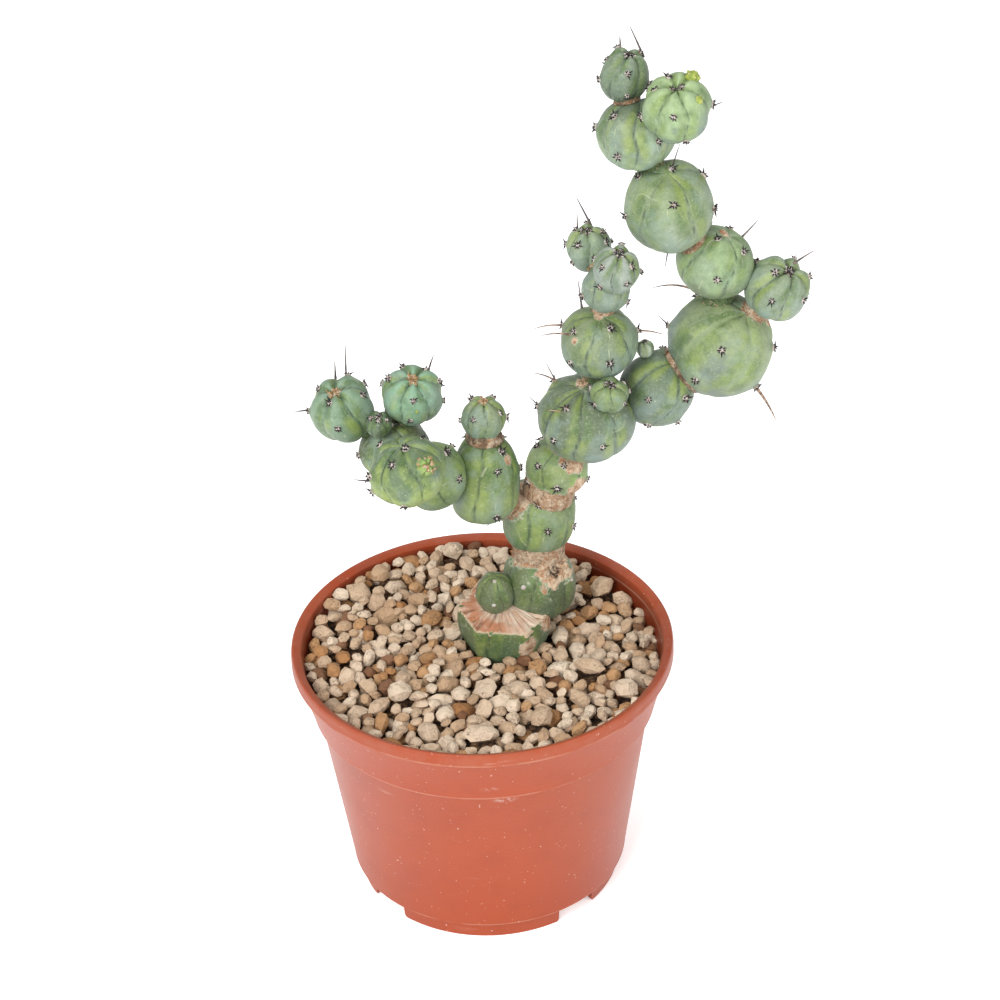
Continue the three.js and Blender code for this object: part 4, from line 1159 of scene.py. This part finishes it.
def makeNecks():
    looks = {"corky": makeCorkLook("corkyNeck", 0.0, 0.6), "creased": makeCorkLook("corkyCrease", 0.5, 0.6),
             "green": makeCorkLook("greenNeck", 4.0, 0.2, "6c8352")}
    rows, sides = collar["rows"], collar["sides"]
    angles = np.arange(sides) / sides * 2 * np.pi
    for name, segment in growth.items():
        if segment.get("on", "stump") == "stump" or segment["neck"] == 0:
            continue
        parent = growth[segment["on"]]
        step = segment["at"] - parent["at"]
        axis, reach = step.normalized(), step.length
        side = axis.orthogonal().normalized()
        across = np.outer(np.cos(angles), side) + np.outer(np.sin(angles), axis.cross(side))
        mine, theirs = reachAlong(segment, axis), reachAlong(parent, axis)
        offset = (reach ** 2 + theirs ** 2 - mine ** 2) / (2 * reach)
        meeting = math.sqrt(max(theirs ** 2 - offset ** 2, 0))
        neck, out = segment["neck"], segment.get("ring", collar["out"])
        kind = "corky" if "bark" in segment else "creased" if "ring" in segment else "green"
        if neck <= meeting and kind == "green":
            continue
        start, way = np.array(parent["at"]), np.array(axis)
        if neck > meeting:
            low = levelWhere(parent, start, way, across[0], neck)
            high = reach - levelWhere(segment, np.array(segment["at"]), -way, across[0], neck)
        else:
            half = segment.get("wide", collar["wide"]) / 2
            low, high = offset - half, offset + half
        lowReach = np.maximum(skinReach(parent, start + way * low, across), 0.5)
        highReach = np.maximum(skinReach(segment, start + way * high, across), 0.5)
        strength = min(1.0, (high - low) / 5) if neck > meeting else 0.3
        seed = sum(map(ord, name)) % 41
        rings = []
        for row in range(rows + 1):
            share = row / rows
            blend = share * share * (3 - 2 * share)
            bulge = math.sin(math.pi * share)
            radius = lowReach * (1 - blend) + highReach * blend
            radius = radius + out * bulge - collar["sink"] * (1 - min(1, bulge * 3))
            level = low - collar["overlap"] + (high - low + 2 * collar["overlap"]) * share
            ring = start + way * level + across * radius[:, None]
            rough = 0.55 * noiseAt(ring, 0.28, seed) + 0.4 * noiseAt(ring, 0.75, seed + 2)
            rings.append(ring + across * (rough * strength)[:, None])
        piece = meshPiece(inFrame(np.concatenate(rings)), tubeFaces(rows, sides))
        recalculateNormals(piece)
        givePiece(piece, "neck_" + name, "cork", [looks[kind]], 60)


# a felt pad and its spines in millimetres, and how their size follows the segment's
padKit = {
    "width": 1.45, "height": 0.85, "spine": 1.5, "thick": 0.46, "kinds": 9, "small": 0.62, "full": 1.05,
    "tuft": 0.7, "worn": 0.7,
}


def coneMesh(start, end, radius, sides=5):
    axis = Vector(end) - Vector(start)
    turn = Vector((0, 0, 1)).rotation_difference(axis.normalized()).to_matrix()
    points = []
    for share, width in ((0, 1.0), (0.4, 0.75), (1, 0.12)):
        for side in range(sides):
            angle = 2 * math.pi * side / sides
            local = Vector((math.cos(angle) * radius * width, math.sin(angle) * radius * width,
                            axis.length * share))
            points.append(tuple(turn @ local + Vector(start)))
    return points, tubeFaces(2, sides)


def makePadKinds():  # a felt pad with its crown of short spines, in a few kinds
    kinds = []
    for kind in range(padKit["kinds"]):
        rng = random.Random("pad kind %d" % kind)
        felt, unit, _, _ = ballPiece(12, 7)
        shape = unit * np.array([padKit["width"], padKit["width"] * 0.9, padKit["height"]])
        shape *= 1 + 0.35 * noiseAt(shape, 1.5, kind)[:, None]
        points = [tuple(p) for p in shape]
        faces = [tuple(face.vertices) for face in felt.data.polygons]
        marks = [0] * len(faces)
        bpy.data.objects.remove(felt)
        count = 6 + kind % 3
        for i in range(count + 1):
            angle = 2 * math.pi * (i + rng.uniform(-0.25, 0.25)) / count
            lean = math.radians(rng.uniform(48, 78) if i < count else rng.uniform(5, 25))
            way = Vector((math.sin(lean) * math.cos(angle), math.sin(lean) * math.sin(angle),
                          math.cos(lean)))
            root = Vector((way.x, way.y, 0)) * padKit["width"] * 0.62
            root = root + Vector((0, 0, padKit["height"] * 0.4))
            short = rng.random() < 0.75
            length = padKit["spine"] * (rng.uniform(0.55, 1.1) if short else rng.uniform(1.3, 1.9))
            more, moreFaces = coneMesh(root, root + way * length, padKit["thick"] * rng.uniform(0.8, 1.15))
            faces += [tuple(len(points) + v for v in face) for face in moreFaces]
            marks += [1] * len(moreFaces)
            points += more
        kinds.append((np.array(points), faces, marks))
    return kinds


def makeFeltLook(name, deep, light):
    look, tree, shader = newMaterial(name, 0.95)
    colour = mixColour(tree, blotches(tree, 900, 1.0, 0.35, 0.65), srgb(deep), srgb(light))
    colour = tint(tree, colour, "7a6256", blotches(tree, 300, 5.0, 0.58, 0.7))
    setLook(tree, shader, colour, blotches(tree, 3000, 2.0, 0.2, 0.8), 0.0004, 0.8)
    return look


def makeSpineLook(name, dark, light):
    look, tree, shader = newMaterial(name, 0.6)
    colour = mixColour(tree, blotches(tree, 500, 3.0, 0.4, 0.65), srgb(dark), srgb(light))
    setLook(tree, shader, colour, blotches(tree, 2500, 1.0, 0.2, 0.8), 0.0001, 0.5)
    return look


def skinSpot(name, segment, theta, phi):  # a point on the skin and the way out of it, in millimetres
    step = 0.03
    spots, _ = shapeBead(name, segment, np.array([theta, theta + step, theta]),
                         np.array([phi, phi, phi + step]))
    outward = np.cross(spots[1] - spots[0], spots[2] - spots[0])
    outward = segment["turn"] @ (outward / np.linalg.norm(outward))
    return Vector(segment["turn"] @ spots[0] + np.array(segment["at"])), Vector(outward)


def hidden(name, spot):  # inside a neighbour, or down in the stones
    for other, segment in growth.items():
        beyond = other == "stump" and spot.z > stumpTop["cut"] + 1
        if other != name and not beyond and depthIn(segment, np.array(spot)) < 1.02:
            return True
    return spot.z < gravel["top"]


def makePads():
    kinds = makePadKinds()
    looks = [makeFeltLook("padFelt", "d4c2b4", "fbf2ea"), makeSpineLook("shortSpine", "0e0b0c", "2c2221"),
             makeFeltLook("youngFelt", "dcbf96", "fbecd6"), makeSpineLook("youngSpine", "a8763f", "dfba88")]
    for name, segment in growth.items():
        rng = random.Random("spines " + name)
        radius = segment["size"][0]
        points, faces, marks = [], [], []
        count = 0
        places = [(theta, phi, False) for theta, phi in segment["places"]]
        if segment.get("tip"):
            ribs, first = segment["ribs"]
            tufts = segment.get("tufts", ribs * 2 + 1)
            for i in range(tufts):
                lean = math.radians(rng.uniform(3, 7) + 3.5 * (i % 3)) * 12 / max(9, radius)
                places.append((lean * segment.get("crown", 1.0), math.radians(first + 720 / tufts * i),
                               True))
        for theta, phi, young in places:
            spot, outward = skinSpot(name, segment, theta, phi)
            if hidden(name, spot):
                continue
            shape, kindFaces, kindMarks = kinds[rng.randrange(len(kinds))]
            if segment.get("worn"):
                kindFaces = [face for face, mark in zip(kindFaces, kindMarks) if mark == 0]
                kindMarks = [0] * len(kindFaces)
                shape = shape[:max(max(face) for face in kindFaces) + 1] * padKit["worn"]
            grow = min(padKit["full"], padKit["small"] + radius / 38) * rng.uniform(0.85, 1.15)
            grow = grow * (padKit["tuft"] if young else 1.0)
            turn = Vector((0, 0, 1)).rotation_difference(outward).to_matrix()
            turn = turn @ Matrix.Rotation(rng.uniform(0, 6.3), 3, "Z")
            points.append(shape * grow @ np.array(turn).T + np.array(spot))
            faces += [tuple(count + v for v in face) for face in kindFaces]
            orange = young and segment["tip"] == "orange"
            marks += [mark + 2 for mark in kindMarks] if orange else kindMarks
            count += len(shape)
        if points:
            piece = meshPiece(inFrame(np.concatenate(points)), faces)
            piece.data.polygons.foreach_set("material_index", marks)
            givePiece(piece, "pads_" + name, "spine", looks, 60)


# place: lean and heading on the segment; size: radius in millimetres
buds = [
    {"on": "right_tip_front", "place": (26, 92), "size": 3.0},
    {"on": "right_tip_front", "place": (60, 39), "size": 1.7},
    {"on": "left_high_tip", "place": (92, 8), "size": 0.7},
]


def makeBuds():  # round scaly buds, yellow-green with pale tips
    look, tree, shader = newMaterial("budScales", 0.5)
    colour = mixColour(tree, blotches(tree, 500, 2.0, 0.35, 0.65), srgb("8ca63c"), srgb("c6d062"))
    colour = tint(tree, colour, "e3cf9c", ramp(tree, attribute(tree, "tip"), 0.4, 0.9))
    setLook(tree, shader, colour, blotches(tree, 900, 1.0, 0.2, 0.8), 0.0004, 0.8)
    for number, bud in enumerate(buds, 1):
        segment = growth[bud["on"]]
        way = direction(*bud["place"])
        piece, unit, theta, phi = ballPiece(48, 28)
        scales = np.clip(np.cos(phi * 6 + np.round(theta * 7 / 6.28) * 2.6), 0, 1)
        scales = np.clip(np.sin(theta * 7), 0, 1) * scales
        shape = unit * (1 + 0.22 * scales[:, None]) * bud["size"] * np.array([1, 1, 0.8])
        place = np.array(segment["at"] + way * (reachAlong(segment, way) - bud["size"] * 0.1))
        setPoints(piece, inFrame(shape @ turnTo(way).T + place))
        setMask(piece, "tip", scales)
        bakePlace(piece)
        givePiece(piece, "bud_%d" % number, "young_skin", [look], None)


# on, place (lean and heading on that segment), points (the way it points), length, and what is special:
# node: the solid it stands for; bend: how far it bows; thick: its radius; pale: an old spine
longSpines = [
    ("left_end_tip", (31, 165), (33, 178), 14, {"node": "spine_end_tip_tall"}),
    ("left_end_tip", (31, -160), (33, -179), 7, {"node": "spine_end_tip_short"}),
    ("left_end_tip", (86, -88), (95, -88), 7, {"node": "spine_end_tip_side"}),
    ("left_high_tip", (45, 126), (38, 145), 7, {"node": "spine_high_tip"}),
    ("left_front_bead", (97, -79), (85, -94), 7, {"node": "spine_front_bead"}),
    ("right_tip_back", (48, 112), (40, -145), 13, {"node": "spine_highest"}),
    ("right_arm_3", (51, 107), (54, 117), 10, {"node": "spine_arm_3"}),
    ("right_side_tip", (33, 96), (65, 107), 10, {"node": "spine_side_tip"}),
    ("right_arm_2", (35, -145), (82, -96), 22,
     {"node": "spine_arm_2_long", "bend": 6.5, "thick": 0.62, "pale": True}),
    ("right_arm_2", (131, 52), (137, 47), 18,
     {"node": "spine_arm_2_low", "bend": 3.2, "thick": 0.75, "pale": True}),
    ("middle_arm_lower", (69, -104), (94, -90), 13,
     {"node": "spine_middle_left", "bend": 2.2, "pale": True}),
    ("middle_arm_lower", (63, -61), (90, -91), 13,
     {"node": "spine_middle_front", "bend": 2.0, "pale": True}),
    ("middle_arm_lower", (38, -137), (33, -170), 12, {"node": "spine_middle_back"}),
    ("middle_arm_lower", (77, 93), (98, 84), 12, {"node": "spine_middle_right", "bend": 1.6, "pale": True}),
    ("trunk_crown", (49, -122), (71, -104), 11, {"node": "spine_crown", "bend": 2.2, "pale": True}),
    ("middle_tip_back", (27, 171), (41, -139), 13, {"node": "spine_middle_tip"}),
    ("right_arm_4", (8, 21), (38, 145), 10, {"thick": 0.3}),
    ("right_arm_4", (153, -7), (146, -22), 7, {"thick": 0.3}),
    ("right_arm_2", (73, -105), (55, -118), 8, {"thick": 0.32}),
    ("trunk_crown", (49, -122), (41, -138), 10, {"thick": 0.3}),
    ("trunk_crown", (78, -99), (54, -119), 7, {"thick": 0.28}),
    ("trunk_crown", (57, -37), (86, 92), 6, {"thick": 0.3, "pale": True}),
    ("trunk_crown", (57, -40), (83, -95), 8, {"thick": 0.3, "pale": True}),
    ("middle_tip_back", (38, -132), (33, 179), 7, {"thick": 0.3}),
    ("right_tip_front", (86, 85), (77, 98), 5, {"thick": 0.3}),
    ("right_tip_back", (24, -162), (33, -178), 5, {"thick": 0.45}),
    ("left_arm_1", (145, 20), (127, -62), 6, {"thick": 0.25}),
]


def makeLongSpines():
    dark = makeSpineLook("longSpine", "2b2424", "8d7a70")
    pale = makeSpineLook("paleSpine", "6e5548", "c9a68c")
    steps, sides, buried = 10, 7, 1.2
    for number, (on, place, points, length, special) in enumerate(longSpines, 1):
        segment = growth[on]
        way, place = direction(*points), direction(*place)
        start = segment["at"] + place * reachAlong(segment, place) * 0.99 - way * buried
        bow = Vector((0, 0, 1)) - way * way.z
        bend = special.get("bend", -0.35 if number % 2 else 0.35)
        thick = special.get("thick", padKit["thick"])
        turn = Vector((0, 0, 1)).rotation_difference(way).to_matrix()
        points = []
        for step in range(steps + 1):
            share = step / steps
            centre = start + way * (length + buried) * share - bow * bend * (share ** 2 - share) * 2
            width = thick * (1 - share) ** 0.7 * (1.3 if step == 1 else 1) + 0.07
            for side in range(sides):
                angle = 2 * math.pi * side / sides
                local = Vector((math.cos(angle) * width, math.sin(angle) * width, 0))
                points.append(tuple(turn @ local + centre))
        piece = meshPiece(inFrame(points), tubeFaces(steps, sides))
        nodes = [special["node"]] if "node" in special else []
        givePiece(piece, "long_spine_%02d" % number, "spine", [pale if special.get("pale") else dark], 60,
                  *nodes)


deselectAll()
makeCamera()
makeStage()
print("camera and stage are set")
growPlaces()
makePot()
print("pot is made")
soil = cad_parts["potting_soil"]
soil.data.materials.clear()
soil.data.materials.append(makeSoilLook())
makeGravel()
makeSegments()
makeStumpTop()
makeNecks()
makePads()
makeBuds()
makeLongSpines()
print("cactus is made")
